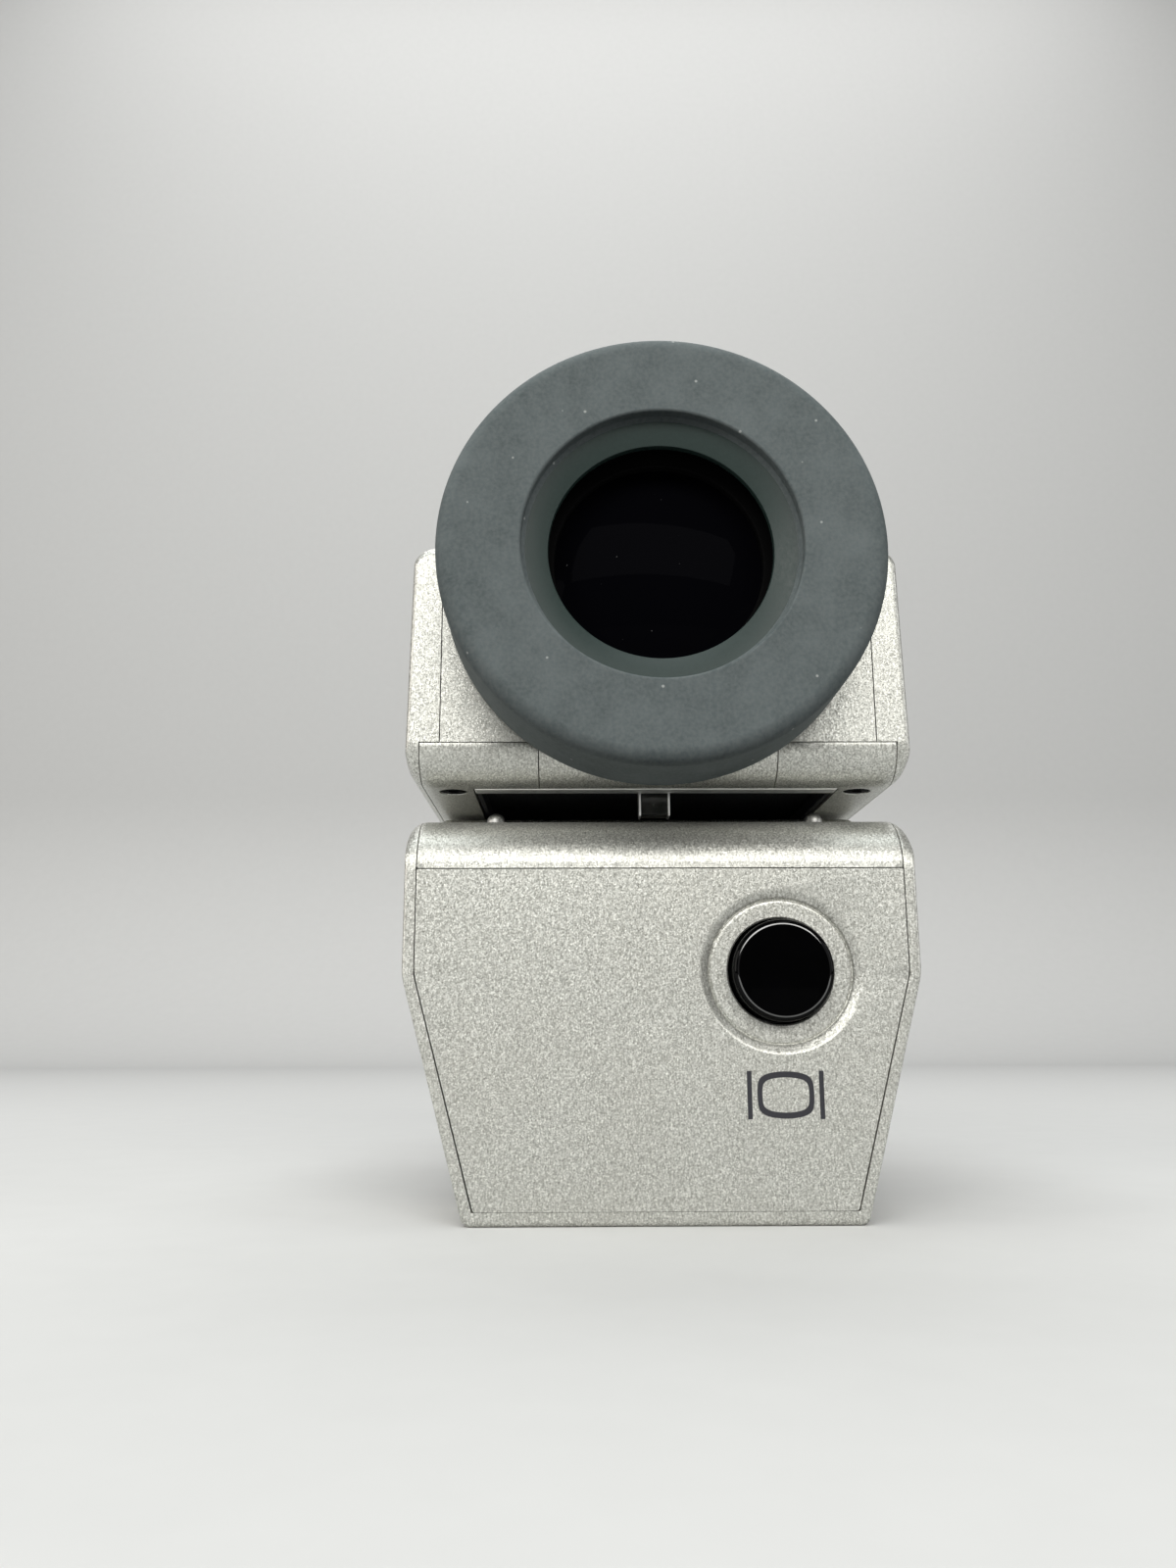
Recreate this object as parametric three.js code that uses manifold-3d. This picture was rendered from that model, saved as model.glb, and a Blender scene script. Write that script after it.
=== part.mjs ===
// Electronic viewfinder for a camera's accessory shoe: a base that hangs over the camera's back, and a
// head with the eyepiece that tilts up on a hinge at its front.
// Millimetres. +Z is up, the eyepiece looks out along -Y, and the origin is the middle of the shoe
// foot's underside.

import * as THREE from "three";
import { mergeVertices } from "three/addons/utils/BufferGeometryUtils.js";
import Module from "manifold-3d";

const wasm = await Module();
wasm.setup();

// Driving dimensions

const seam = 0.12; // hairline between two covers
const slack = 0.3; // gap round a piece that moves
const ease = 0.1; // gap round a piece that is seated
const overrun = 2; // how far a cut runs past what it cuts

const foot = {
  width: 18.6,
  length: 18,
  thickness: 2,
  neckWidth: 12.4,
  neckHeight: 2.6,
  cornerRadius: 1.2,
  rearCornerRadius: 0.6,
};

const base = {
  sideInset: 0.2, // from the head's side
  height: 21.95,
  depth: 9, // of the housing behind the shoe
  footClear: 3, // from the housing to the foot
  slabThickness: 3.95,
  taperWidth: 3.56, // how much narrower each side is at the bottom
  bottomCornerRadius: 0.7,
  bottomEdgeRadius: 0.35,
  kneeHeight: 13,
  kneeRadius: 3,
  shoulderRadius: 1.7,
  browRadius: 3.1, // radius of the rounded upper rear edge
  frontEdgeRadius: 0.8,
  wallThickness: 0.65, // cheeks, floor and front of the shell
  skinThickness: 0.9, // top cover
  deckSetback: 10.5, // from the rear face to the raised deck
  deckInset: 0.8,
  deckEdgeRadius: 0.6,
};

const panel = { thickness: 1, bossRadius: 4.9, bossDepth: 1.5 };

const dish = { x: 6.5, dropHeight: 5.65, radius: 4.35, floorRadius: 3.9, depth: 0.7 };

const button = {
  radius: 2.85,
  proudHeight: 1,
  edgeRadius: 0.3,
  crownHeight: 0.08,
  gap: 0.15,
  flangeRadius: 3.6,
  flangeThickness: 0.6,
  stemRadius: 1.2,
  stemLength: 0.85,
  travel: 0.5,
};

const board = {
  sideInset: 4.6,
  lowTaperWidth: 1,
  thickness: 0.8,
  setback: 5,
  footHeight: 1.3,
  flareHeight: 2.6,
  height: 16.1,
  cornerRadius: 0.6,
};
const tact = { width: 3, thickness: 1.1, plungerRadius: 0.9, plungerHeight: 0.35 };
const pad = { innerRadius: 2.3, outerRadius: 3.4 };

const plug = {
  height: 6.5, // of its middle over the housing's underside
  blockHalfWidth: 6.4,
  blockHalfHeight: 2.9,
  blockProudLength: 1.2,
  shellHalfWidth: 5.2,
  shellHalfHeight: 1.75,
  shellThickness: 0.35,
  shellLength: 4.6,
  tongueHalfWidth: 4.3,
  tongueHalfHeight: 0.55,
  tongueSetback: 0.6,
  contactCount: 9,
  contactPitch: 0.9,
  contactWidth: 0.4,
  contactThickness: 0.2,
  cornerRadius: 0.8,
  blockCornerRadius: 0.4,
};

const chassis = {
  sideInset: 2.7,
  thickness: 1,
  tabLength: 4,
  tabInset: 1.3,
  tabThickness: 1.75,
  postRadius: 0.9,
};

const screw = {
  headRadius: 1.5,
  headHeight: 0.9,
  shankRadius: 0.75,
  slotHalfLength: 1.05,
  slotWidth: 0.4,
  slotDepth: 0.4,
};
const screwPlace = { x: 4.2, y: 5.6 };

const bumper = { inset: 4, setback: 4, radius: 0.55, height: 0.7, shankRadius: 0.3 };

const hinge = {
  setback: 5, // from the head's front to the axis
  deckGap: 0.25, // from the deck to the head's underside
  blockLength: 3.4, // from the axis back to the block's rear face
  pinRadius: 1,
  pinInner: 6.2,
  washerRadius: 2.4,
  washerThickness: 0.35,
  washerGap: 0.15,
  armRadius: 2.6,
  armWidth: 2.35,
  armNeckHalfWidth: 2,
  tunnelHalfWidth: 3.9,
  tunnelRadius: 2.5,
  tunnelBoreRadius: 1.35,
  tunnelNeckHalfWidth: 1.7,
  flexOuterRadius: 0.95,
  flexInnerRadius: 0.55,
};

const head = {
  sideMargin: 2.1, // from the eyecup's edge to the head's side
  leanWidth: 0.25, // how much narrower each side is at the top
  length: 42,
  gap: 1.9, // finger gap over the base
  wallThickness: 0.9,
  bandRadius: 2.2, // radius of the rounded lower rear edge
  bottomCornerRadius: 2.1,
  topCornerRadius: 2.2,
  rearEdgeRadius: 0.6,
  frontCornerRadius: 3,
  frontFootRadius: 1.5,
  sideWidth: 1.95, // of a side cover, seen from the rear
  sideFootWidth: 0.8, // of a side cover beside the bottom cover
  frameRimWidth: 0.65, // of the rear frame under its hole
  frameThickness: 1.6,
};

const hump = {
  rimWidth: 1.15, // over the rear frame's hole
  cornerRadius: 7.2,
  flareRadius: 1.6,
  flareWidth: 2,
  length: 27,
  slopeRadius: 8,
  browRadius: 2.5,
  frontDropHeight: 1,
  rearEdgeRadius: 0.8,
};

const insert = { halfWidth: 6.8, length: 2.3 };
const recess = {
  sideInset: 3.7,
  setback: 2.42,
  endSetback: 32,
  depth: 0.9,
  floorThickness: 0.3,
  lipLength: 1.1,
  lipThickness: 0.55,
};
const latch = { halfWidth: 0.93, setback: 4, length: 1.2, dropHeight: 1.3, edgeRadius: 0.2 };
const headScrew = {
  inset: 2.5,
  setback: 3.3,
  radius: 0.72,
  height: 0.4,
  sunkDepth: 0.35,
  shankRadius: 0.4,
  bossRadius: 1.25,
};
const tray = { sideGap: 0.7, setback: 2.4, frontGap: 1.4, thickness: 0.9 };

const axisDrop = 2.3; // from the head's top to the eyepiece's axis
const barrel = {
  outerRadius: 8,
  innerRadius: 7.5,
  frontLength: 3.1,
  backLength: 13,
  flangeRadius: 9,
  flangeThickness: 1,
  bulkheadSetback: 2.75,
  bulkheadThickness: 1.2,
};

const eyecup = {
  radius: 12.3,
  length: 5.8,
  edgeRadius: 0.85,
  holeRadius: 7.65,
  standGap: 0.3,
  rimRadius: 0.15,
  wallThickness: 1.2,
};

const dial = {
  frontLength: 4.9,
  coneRadius: 7.45,
  coneInnerRadius: 6.35,
  coneDepth: 0.95,
  flangeLength: 3.6,
  skirtRadius: 8.75,
  skirtLength: 2.4,
  grooveDepth: 1.05,
  swing: 60, // degrees each way
  retainerRadius: 9.25,
  retainerThickness: 0.4,
};

const cell = {
  outerRadius: 7.25,
  innerRadius: 6.35,
  frontLength: 2.6,
  backLength: 9.5,
  lipRadius: 5.9,
  lipThickness: 0.5,
  travel: 0.8,
};
const lens = { radius: 6.2, landWidth: 0.65, spacerRadius: 5.6, gap: 0.05 };
const eyeLens = { setback: -2.05, edgeLength: 1.1, frontHeight: 0.85, backHeight: 0.9 };
const middleLens = { setback: 1.6, edgeLength: 1, frontHeight: 0.6, backHeight: 0.6 };
const fieldLens = { setback: 6.2, edgeLength: 1, frontHeight: 0.5, backHeight: 0.5 };
const cellRing = { innerRadius: 5.4, thickness: 1.2 };
const focusPin = { setback: 1.75, radius: 0.4, tipRadius: 9.1, grooveGap: 0.12 };

const display = {
  setback: 21.5, // from the rear face
  plateThickness: 1.2,
  halfWidth: 6.3,
  halfHeight: 5,
  thickness: 1.1,
  windowHalfWidth: 5,
  windowHalfHeight: 3.8,
  collarWidth: 0.9,
  lightThickness: 2.3,
  flexHalfWidth: 4,
  flexThickness: 0.3,
  flexHeight: 3,
};

const driver = {
  sideInset: 1.6,
  length: 12,
  thickness: 0.8,
  liftHeight: 0.6,
  frontGap: 2.4,
  postRadius: 0.8,
  postSetback: 1.4,
  chipHalfWidth: 3.5,
  chipThickness: 1,
};

const steps = { corner: 5, round: 28, small: 14, turn: 48, helix: 10, fillet: 4 };

// Places that follow from them

const rearY = -(foot.length / 2 + base.footClear + base.depth);
const frontY = rearY + head.length;
const headHalf = eyecup.radius + head.sideMargin;
const baseHalf = headHalf - base.sideInset;
const deckHalf = baseHalf - base.deckInset;
const frameHalf = headHalf - head.sideWidth;
const bandHalf = headHalf - head.sideFootWidth;
const trayHalf = headHalf - head.wallThickness - tray.sideGap;
const boardHalf = baseHalf - board.sideInset;
const chassisHalf = baseHalf - chassis.sideInset;
const bumperX = deckHalf - bumper.inset;
const driverHalf = trayHalf - driver.sideInset;
const recessHalf = headHalf - recess.sideInset;
const headScrewX = headHalf - headScrew.inset;
const dialOuter = eyecup.radius - eyecup.wallThickness - ease;
const frameHole = dial.skirtRadius + slack;
const humpHalf = frameHole + hump.rimWidth;
const housingFrontY = rearY + base.depth;
const slabZ = foot.thickness + foot.neckHeight;
const baseTopZ = slabZ + base.slabThickness;
const baseBottomZ = baseTopZ - base.height;
const browZ = baseTopZ - base.browRadius;
const headBottomZ = baseTopZ + head.gap;
const bandZ = headBottomZ + head.bandRadius;
const axisZ = bandZ + head.frameRimWidth + frameHole;
const headTopZ = axisZ + axisDrop;
const humpTopZ = axisZ + humpHalf;
const hingeRadius = (headBottomZ - hinge.deckGap - slabZ) / 2;
const hingeY = frontY - hinge.setback;
const hingeZ = slabZ + hingeRadius;
const deckZ = hingeZ + hingeRadius;
const blockY = hingeY - hinge.blockLength;
const dishZ = browZ - dish.dropHeight;
const boardY = rearY + board.setback;
const plugZ = baseBottomZ + plug.height;
const plugFaceY = housingFrontY + plug.blockProudLength;
const trayZ = headBottomZ + recess.depth + recess.floorThickness + slack; // underside of the head's chassis
const trayTopZ = trayZ + tray.thickness;
const armEnd = deckHalf - ease;
const armStart = armEnd - hinge.armWidth;
const washerStart = armStart - hinge.washerGap - hinge.washerThickness;
const noseHalf = washerStart - hinge.washerGap;
const far = head.length * 2;

// Solids

function toSolid(geometry) {
  const bare = new THREE.BufferGeometry();
  bare.setAttribute("position", geometry.getAttribute("position"));
  bare.setIndex(geometry.index);
  const merged = mergeVertices(bare);
  const corners = merged.index.array;
  const triangles = [];
  for (let i = 0; i < corners.length; i += 3) {
    const [a, b, c] = corners.slice(i, i + 3);
    if (a !== b && b !== c && c !== a) triangles.push(a, b, c);
  }
  const build = () =>
    new wasm.Manifold(
      new wasm.Mesh({
        numProp: 3,
        vertProperties: new Float32Array(merged.getAttribute("position").array),
        triVerts: new Uint32Array(triangles),
      }),
    );
  const made = build();
  if (made.volume() > 0) return made;
  triangles.reverse();
  return build();
}

function toGeometry(solid) {
  const mesh = solid.getMesh();
  const places = new Float32Array(mesh.numVert * 3);
  for (let i = 0; i < mesh.numVert; i++) {
    places.set(mesh.vertProperties.subarray(i * mesh.numProp, i * mesh.numProp + 3), i * 3);
  }
  const geometry = new THREE.BufferGeometry();
  geometry.setAttribute("position", new THREE.BufferAttribute(places, 3));
  geometry.setIndex(new THREE.BufferAttribute(mesh.triVerts, 1));
  geometry.computeVertexNormals();
  return geometry;
}

function box(x0, x1, y0, y1, z0, z1) {
  const geometry = new THREE.BoxGeometry(x1 - x0, y1 - y0, z1 - z0);
  geometry.translate((x0 + x1) / 2, (y0 + y1) / 2, (z0 + z1) / 2);
  return toSolid(geometry);
}

// A closed outline from corners [across, up, radius], with each radius as an arc.
function outline(corners) {
  const shape = new THREE.Shape();
  corners.forEach(([x, y, radius = 0], i) => {
    const here = new THREE.Vector2(x, y);
    const before = new THREE.Vector2(...corners.at(i - 1).slice(0, 2)).sub(here).normalize();
    const after = new THREE.Vector2(...corners[(i + 1) % corners.length].slice(0, 2)).sub(here).normalize();
    const go = (p) => (i === 0 ? shape.moveTo(p.x, p.y) : shape.lineTo(p.x, p.y));
    if (radius <= 0) {
      go(here);
      return;
    }
    const half = Math.acos(THREE.MathUtils.clamp(before.dot(after), -1, 1)) / 2;
    const start = here.clone().addScaledVector(before, radius / Math.tan(half));
    const end = here.clone().addScaledVector(after, radius / Math.tan(half));
    const inward = before.clone().add(after).normalize();
    const middle = here.clone().addScaledVector(inward, radius / Math.sin(half));
    const angle = (p) => Math.atan2(p.y - middle.y, p.x - middle.x);
    go(start);
    shape.absarc(middle.x, middle.y, radius, angle(start), angle(end), before.cross(after) > 0);
  });
  shape.closePath();
  return shape;
}

function mirrored(corners) {
  const left = corners.map(([x, y, radius]) => [-x, y, radius]).reverse();
  return outline([...corners, ...left]);
}

function extruded(shape, length) {
  const settings = { depth: length, bevelEnabled: false, curveSegments: steps.corner };
  return new THREE.ExtrudeGeometry(shape, settings);
}

// An outline of (x, z) drawn out along Y.
function alongY(shape, y0, y1) {
  const geometry = extruded(shape, y1 - y0);
  geometry.rotateX(Math.PI / 2);
  geometry.translate(0, y1, 0);
  return toSolid(geometry);
}

// An outline of (y, z) drawn out along X.
function alongX(shape, x0, x1) {
  const geometry = extruded(shape, x1 - x0);
  const turn = new THREE.Matrix4().makeBasis(
    new THREE.Vector3(0, 1, 0),
    new THREE.Vector3(0, 0, 1),
    new THREE.Vector3(1, 0, 0),
  );
  geometry.applyMatrix4(turn);
  geometry.translate(x0, 0, 0);
  return toSolid(geometry);
}

// An outline of (x, y) drawn out along Z.
function alongZ(shape, z0, z1) {
  const geometry = extruded(shape, z1 - z0);
  geometry.translate(0, 0, z0);
  return toSolid(geometry);
}

// A profile of [radius, along] turned about a line along Y through (x, z).
function turned(profile, x = 0, z = 0, around = steps.turn) {
  const points = profile.map(([radius, along]) => new THREE.Vector2(radius, along));
  const geometry = new THREE.LatheGeometry(points, around);
  geometry.translate(x, 0, z);
  return toSolid(geometry);
}

// The profile of a tube or ring, closed on itself.
function ringProfile(inner, outer, y0, y1) {
  return [[inner, y0], [outer, y0], [outer, y1], [inner, y1], [inner, y0]];
}

function rod(radius, from, to, axis, around = steps.small) {
  const geometry = new THREE.CylinderGeometry(radius, radius, to - from, around);
  geometry.translate(0, (from + to) / 2, 0);
  if (axis === "x") geometry.rotateZ(-Math.PI / 2);
  if (axis === "z") geometry.rotateX(Math.PI / 2);
  return geometry;
}

function rodX(radius, x0, x1, y, z, around) {
  return toSolid(rod(radius, x0, x1, "x", around).translate(0, y, z));
}

function rodY(radius, y0, y1, x, z, around) {
  return toSolid(rod(radius, y0, y1, "y", around).translate(x, 0, z));
}

function rodZ(radius, z0, z1, x, y, around) {
  return toSolid(rod(radius, z0, z1, "z", around).translate(x, y, 0));
}

function joined(...solids) {
  return solids.reduce((all, one) => all.add(one));
}

// Finishes

const finishes = {
  silver: { color: 0xb9bbb8, metalness: 0.6, roughness: 0.42 },
  rubber: { color: 0x3f474b, metalness: 0, roughness: 0.75 },
  glossBlack: { color: 0x060607, metalness: 0, roughness: 0.12 },
  mattBlack: { color: 0x121314, metalness: 0, roughness: 0.6 },
  cone: { color: 0x2b3a37, metalness: 0, roughness: 0.45 },
  steel: { color: 0xc9cac8, metalness: 1, roughness: 0.22 },
  darkSteel: { color: 0x4a4a4b, metalness: 1, roughness: 0.4 },
  gold: { color: 0xc9a03c, metalness: 1, roughness: 0.3 },
  glass: { color: 0x0b1013, metalness: 0, roughness: 0.05 },
  circuit: { color: 0x1c5a38, metalness: 0, roughness: 0.55 },
  silicone: { color: 0xb9b4a6, metalness: 0, roughness: 0.7 },
  amber: { color: 0xa86a22, metalness: 0, roughness: 0.5 },
  white: { color: 0xe4e4df, metalness: 0, roughness: 0.5 },
};

for (const name of Object.keys(finishes)) {
  finishes[name] = new THREE.MeshStandardMaterial({ ...finishes[name], name });
}

function piece(name, solid, finish) {
  const mesh = new THREE.Mesh(toGeometry(solid), finishes[finish]);
  mesh.name = name;
  return mesh;
}

function at(mesh, x, y, z) {
  mesh.position.set(x, y, z);
  return mesh;
}

// Base: the shell, its covers and the hinge block

// The rear view of the housing between two heights, drawn in by the wall's thickness.
function housingOutline(inset) {
  const lean = base.taperWidth / base.kneeHeight;
  const side = inset * Math.hypot(1, lean);
  const low = baseHalf - base.taperWidth + inset * lean - side;
  return { low, wide: baseHalf - inset, knee: baseBottomZ + base.kneeHeight + (side - inset) / lean };
}

// The room inside the cheeks and over the floor, open at the top.
function housingRoom(inset) {
  const { low, wide, knee } = housingOutline(inset);
  return mirrored([
    [low, baseBottomZ + inset],
    [wide, knee, base.kneeRadius],
    [wide, deckZ + overrun],
  ]);
}

function housingSolid() {
  const side = outline([
    [rearY, baseBottomZ, base.bottomEdgeRadius],
    [rearY, baseTopZ, base.browRadius],
    [blockY - seam, baseTopZ],
    [blockY - seam, slabZ],
    [housingFrontY, slabZ, base.frontEdgeRadius],
    [housingFrontY, baseBottomZ, base.frontEdgeRadius],
  ]);
  const { low, wide, knee } = housingOutline(0);
  const rear = mirrored([
    [low, baseBottomZ, base.bottomCornerRadius],
    [wide, knee, base.kneeRadius],
    [wide, baseTopZ, base.shoulderRadius],
  ]);
  return alongX(side, -baseHalf, baseHalf).intersect(alongY(rear, rearY, blockY));
}

function baseShell() {
  const room = alongY(housingRoom(base.wallThickness), rearY - overrun, blockY).intersect(
    alongX(
      outline([
        [rearY - overrun, baseBottomZ + base.wallThickness],
        [housingFrontY - base.wallThickness, baseBottomZ + base.wallThickness],
        [housingFrontY - base.wallThickness, slabZ + base.wallThickness],
        [blockY, slabZ + base.wallThickness],
        [blockY, deckZ + overrun],
        [rearY - overrun, deckZ + overrun],
      ]),
      -baseHalf,
      baseHalf,
    ),
  );
  const mouth = box(
    -plug.blockHalfWidth - ease,
    plug.blockHalfWidth + ease,
    housingFrontY - base.wallThickness - overrun / 2,
    housingFrontY + overrun,
    plugZ - plug.blockHalfHeight - ease,
    plugZ + plug.blockHalfHeight + ease,
  );
  const holes = shoeScrewHoles(slabZ - overrun, slabZ + overrun);
  return housingSolid().subtract(room).subtract(mouth).subtract(holes);
}

function topCover() {
  const halfWidth = baseHalf - base.wallThickness - seam;
  const deck = alongX(
    outline([
      [rearY + base.deckSetback, baseTopZ - base.skinThickness],
      [rearY + base.deckSetback, deckZ, base.deckEdgeRadius],
      [blockY - seam, deckZ],
      [blockY - seam, baseTopZ - base.skinThickness],
    ]),
    -deckHalf,
    deckHalf,
  ).intersect(
    alongY(
      mirrored([
        [deckHalf, baseTopZ - overrun],
        [deckHalf, deckZ, base.deckEdgeRadius],
      ]),
      rearY,
      blockY,
    ),
  );
  const body = joined(
    housingSolid().intersect(box(-halfWidth, halfWidth, rearY - overrun, far, browZ + seam / 2, far)),
    deck,
  );
  const hollow = joined(
    alongX(
      outline([
        [rearY + base.skinThickness, -far],
        [rearY + base.skinThickness, baseTopZ - base.skinThickness, base.browRadius - base.skinThickness],
        [far, baseTopZ - base.skinThickness],
        [far, -far],
      ]),
      -far,
      far,
    ),
    box(
      -deckHalf + base.skinThickness,
      deckHalf - base.skinThickness,
      rearY + base.deckSetback + base.skinThickness,
      far,
      slabZ,
      deckZ - base.skinThickness,
    ),
  );
  const holes = joined(
    ...[-1, 1].map((side) =>
      rodZ(bumper.shankRadius + ease, slabZ, baseTopZ + overrun, side * bumperX, rearY + bumper.setback),
    ),
  );
  return body.subtract(hollow).subtract(holes);
}

function rearPanel() {
  const plate = alongY(housingRoom(base.wallThickness + seam), rearY, rearY + panel.thickness).intersect(
    box(-far, far, -far, far, -far, browZ - seam / 2),
  );
  const bossY = rearY + panel.thickness / 2;
  const boss = rodY(panel.bossRadius, bossY, rearY + panel.bossDepth, dish.x, dishZ, steps.round);
  const bowl = [[0, rearY - overrun], [dish.radius, rearY - overrun]];
  for (let i = 0; i <= steps.fillet; i++) {
    const angle = ((i / steps.fillet) * Math.PI) / 2;
    const shrink = (dish.radius - dish.floorRadius) * Math.sin(angle);
    bowl.push([dish.radius - shrink, rearY + dish.depth * (1 - Math.cos(angle))]);
  }
  bowl.push([0, rearY + dish.depth]);
  const hole = rodY(button.radius + button.gap, rearY - overrun, rearY + overrun, dish.x, dishZ, steps.round);
  return plate.add(boss).subtract(turned(bowl, dish.x, dishZ)).subtract(hole);
}

function shoeScrewHoles(z0, z1) {
  const holes = [];
  for (const x of [-screwPlace.x, screwPlace.x]) {
    for (const y of [-screwPlace.y, screwPlace.y]) {
      holes.push(rodZ(screw.shankRadius + ease, z0, z1, x, y));
    }
  }
  return joined(...holes);
}

function baseChassis() {
  const floorZ = slabZ + base.wallThickness;
  const wallY = housingFrontY - base.wallThickness;
  const topZ = floorZ + chassis.thickness;
  const low = baseBottomZ + board.footHeight;
  const middleY = wallY - chassis.thickness / 2;
  const postX = boardHalf - board.footHeight;
  const body = joined(
    box(-chassisHalf, chassisHalf, middleY, blockY - slack, floorZ, topZ),
    box(-boardHalf, boardHalf, wallY - chassis.thickness, wallY, low, topZ - chassis.thickness / 2),
    ...[-postX, postX].flatMap((x) =>
      [low + board.footHeight, floorZ - board.footHeight].map((z) =>
        rodY(chassis.postRadius, boardY + board.thickness, middleY, x, z),
      ),
    ),
  );
  const mouth = box(
    -plug.blockHalfWidth - ease,
    plug.blockHalfWidth + ease,
    boardY,
    housingFrontY,
    plugZ - plug.blockHalfHeight - ease,
    plugZ + plug.blockHalfHeight + ease,
  );
  return body.subtract(mouth).subtract(shoeScrewHoles(slabZ, topZ + overrun));
}

function hingeBlock() {
  const half = noseHalf;
  const nose = joined(
    box(-half, half, blockY, hingeY, slabZ, deckZ),
    rodX(hingeRadius, -half, half, hingeY, hingeZ, steps.round),
  );
  const tabHalf = half - chassis.tabInset;
  const tabZ = slabZ + base.wallThickness + chassis.thickness;
  const tab = box(
    -tabHalf,
    tabHalf,
    blockY - chassis.tabLength,
    blockY + hinge.blockLength / 2,
    tabZ,
    tabZ + chassis.tabThickness,
  );
  const notch = box(
    -hinge.tunnelHalfWidth - slack,
    hinge.tunnelHalfWidth + slack,
    hingeY - hingeRadius,
    far,
    0,
    far,
  );
  const bore = rodX(hinge.pinRadius + ease, -far, far, hingeY, hingeZ);
  return nose.add(tab).subtract(notch).subtract(bore);
}

function shoeFoot() {
  const half = foot.width / 2;
  const reach = foot.length / 2;
  const plate = alongZ(
    outline([
      [-half, -reach, foot.rearCornerRadius],
      [half, -reach, foot.rearCornerRadius],
      [half, reach, foot.cornerRadius],
      [-half, reach, foot.cornerRadius],
    ]),
    0,
    foot.thickness,
  );
  const neck = box(-foot.neckWidth / 2, foot.neckWidth / 2, -reach, reach, foot.thickness / 2, slabZ);
  const seats = [];
  for (const x of [-screwPlace.x, screwPlace.x]) {
    for (const y of [-screwPlace.y, screwPlace.y]) {
      seats.push(rodZ(screw.headRadius + ease, -overrun, screw.headHeight + slack, x, y));
    }
  }
  return plate.add(neck).subtract(joined(...seats)).subtract(shoeScrewHoles(-overrun, far));
}

// A cross-slotted screw that stands on its head, its shank pointing up.
function shoeScrew() {
  const reach = slabZ + base.wallThickness + chassis.thickness - slack;
  const body = joined(
    rodZ(screw.headRadius, 0, screw.headHeight, 0, 0),
    rodZ(screw.shankRadius, screw.headHeight / 2, reach - slack, 0, 0),
  );
  const half = screw.slotWidth / 2;
  const arm = screw.slotHalfLength;
  const slots = joined(
    box(-arm, arm, -half, half, -overrun, screw.slotDepth),
    box(-half, half, -arm, arm, -overrun, screw.slotDepth),
  );
  return body.subtract(slots);
}

function bumperDome() {
  const profile = [
    [0, -base.skinThickness],
    [bumper.shankRadius, -base.skinThickness],
    [bumper.shankRadius, 0],
    [bumper.radius, 0],
  ];
  for (let i = 1; i <= steps.fillet; i++) {
    const angle = ((i / steps.fillet) * Math.PI) / 2;
    profile.push([bumper.radius * Math.cos(angle), bumper.height * Math.sin(angle)]);
  }
  profile.at(-1)[0] = 0;
  const geometry = new THREE.LatheGeometry(profile.map((p) => new THREE.Vector2(...p)), steps.small);
  geometry.rotateX(Math.PI / 2);
  return toSolid(geometry);
}

// Button and electronics of the base

const panelBackY = rearY + panel.bossDepth;
const flangeY = panelBackY + ease;
const stemEndY = flangeY + button.flangeThickness + button.stemLength;

function displayButton() {
  const topY = rearY - button.proudHeight;
  const profile = [[0, topY - button.crownHeight]];
  for (let i = 0; i <= steps.fillet; i++) {
    const angle = ((i / steps.fillet) * Math.PI) / 2;
    profile.push([
      button.radius - button.edgeRadius * (1 - Math.sin(angle)),
      topY + button.edgeRadius * (1 - Math.cos(angle)),
    ]);
  }
  profile.push(
    [button.radius, flangeY],
    [button.flangeRadius, flangeY],
    [button.flangeRadius, flangeY + button.flangeThickness],
    [button.stemRadius, flangeY + button.flangeThickness],
    [button.stemRadius, stemEndY],
    [0, stemEndY],
  );
  return turned(profile, dish.x, dishZ, steps.round);
}

function mainBoard() {
  const low = baseBottomZ + board.footHeight;
  return alongY(
    mirrored([
      [boardHalf - board.lowTaperWidth, low, board.cornerRadius],
      [boardHalf, low + board.flareHeight, board.cornerRadius],
      [boardHalf, low + board.height, board.cornerRadius],
    ]),
    boardY,
    boardY + board.thickness,
  );
}

function tactSwitch() {
  const half = tact.width / 2;
  const front = boardY - tact.thickness;
  return joined(
    box(dish.x - half, dish.x + half, front, boardY, dishZ - half, dishZ + half),
    rodY(tact.plungerRadius, front - tact.plungerHeight, boardY - tact.thickness / 2, dish.x, dishZ),
  );
}

function buttonPad() {
  const start = flangeY + button.flangeThickness + button.travel + ease;
  return turned(ringProfile(pad.innerRadius, pad.outerRadius, start, boardY), dish.x, dishZ, steps.round);
}

// Plug

function plugBlock() {
  const width = plug.blockHalfWidth;
  const height = plug.blockHalfHeight;
  return alongY(
    mirrored([
      [width, plugZ - height, plug.blockCornerRadius],
      [width, plugZ + height, plug.blockCornerRadius],
    ]),
    boardY + board.thickness,
    plugFaceY,
  );
}

function plugShell() {
  const ring = (shrink, y0, y1) =>
    alongY(
      mirrored([
        [plug.shellHalfWidth - shrink, plugZ - plug.shellHalfHeight + shrink, plug.cornerRadius - shrink],
        [plug.shellHalfWidth - shrink, plugZ + plug.shellHalfHeight - shrink, plug.cornerRadius - shrink],
      ]),
      y0,
      y1,
    );
  const end = plugFaceY + plug.shellLength;
  return ring(0, plugFaceY, end).subtract(ring(plug.shellThickness, plugFaceY - overrun, end + overrun));
}

function plugTongue() {
  return box(
    -plug.tongueHalfWidth,
    plug.tongueHalfWidth,
    plugFaceY,
    plugFaceY + plug.shellLength - plug.tongueSetback,
    plugZ - plug.tongueHalfHeight,
    plugZ + plug.tongueHalfHeight,
  );
}

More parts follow.
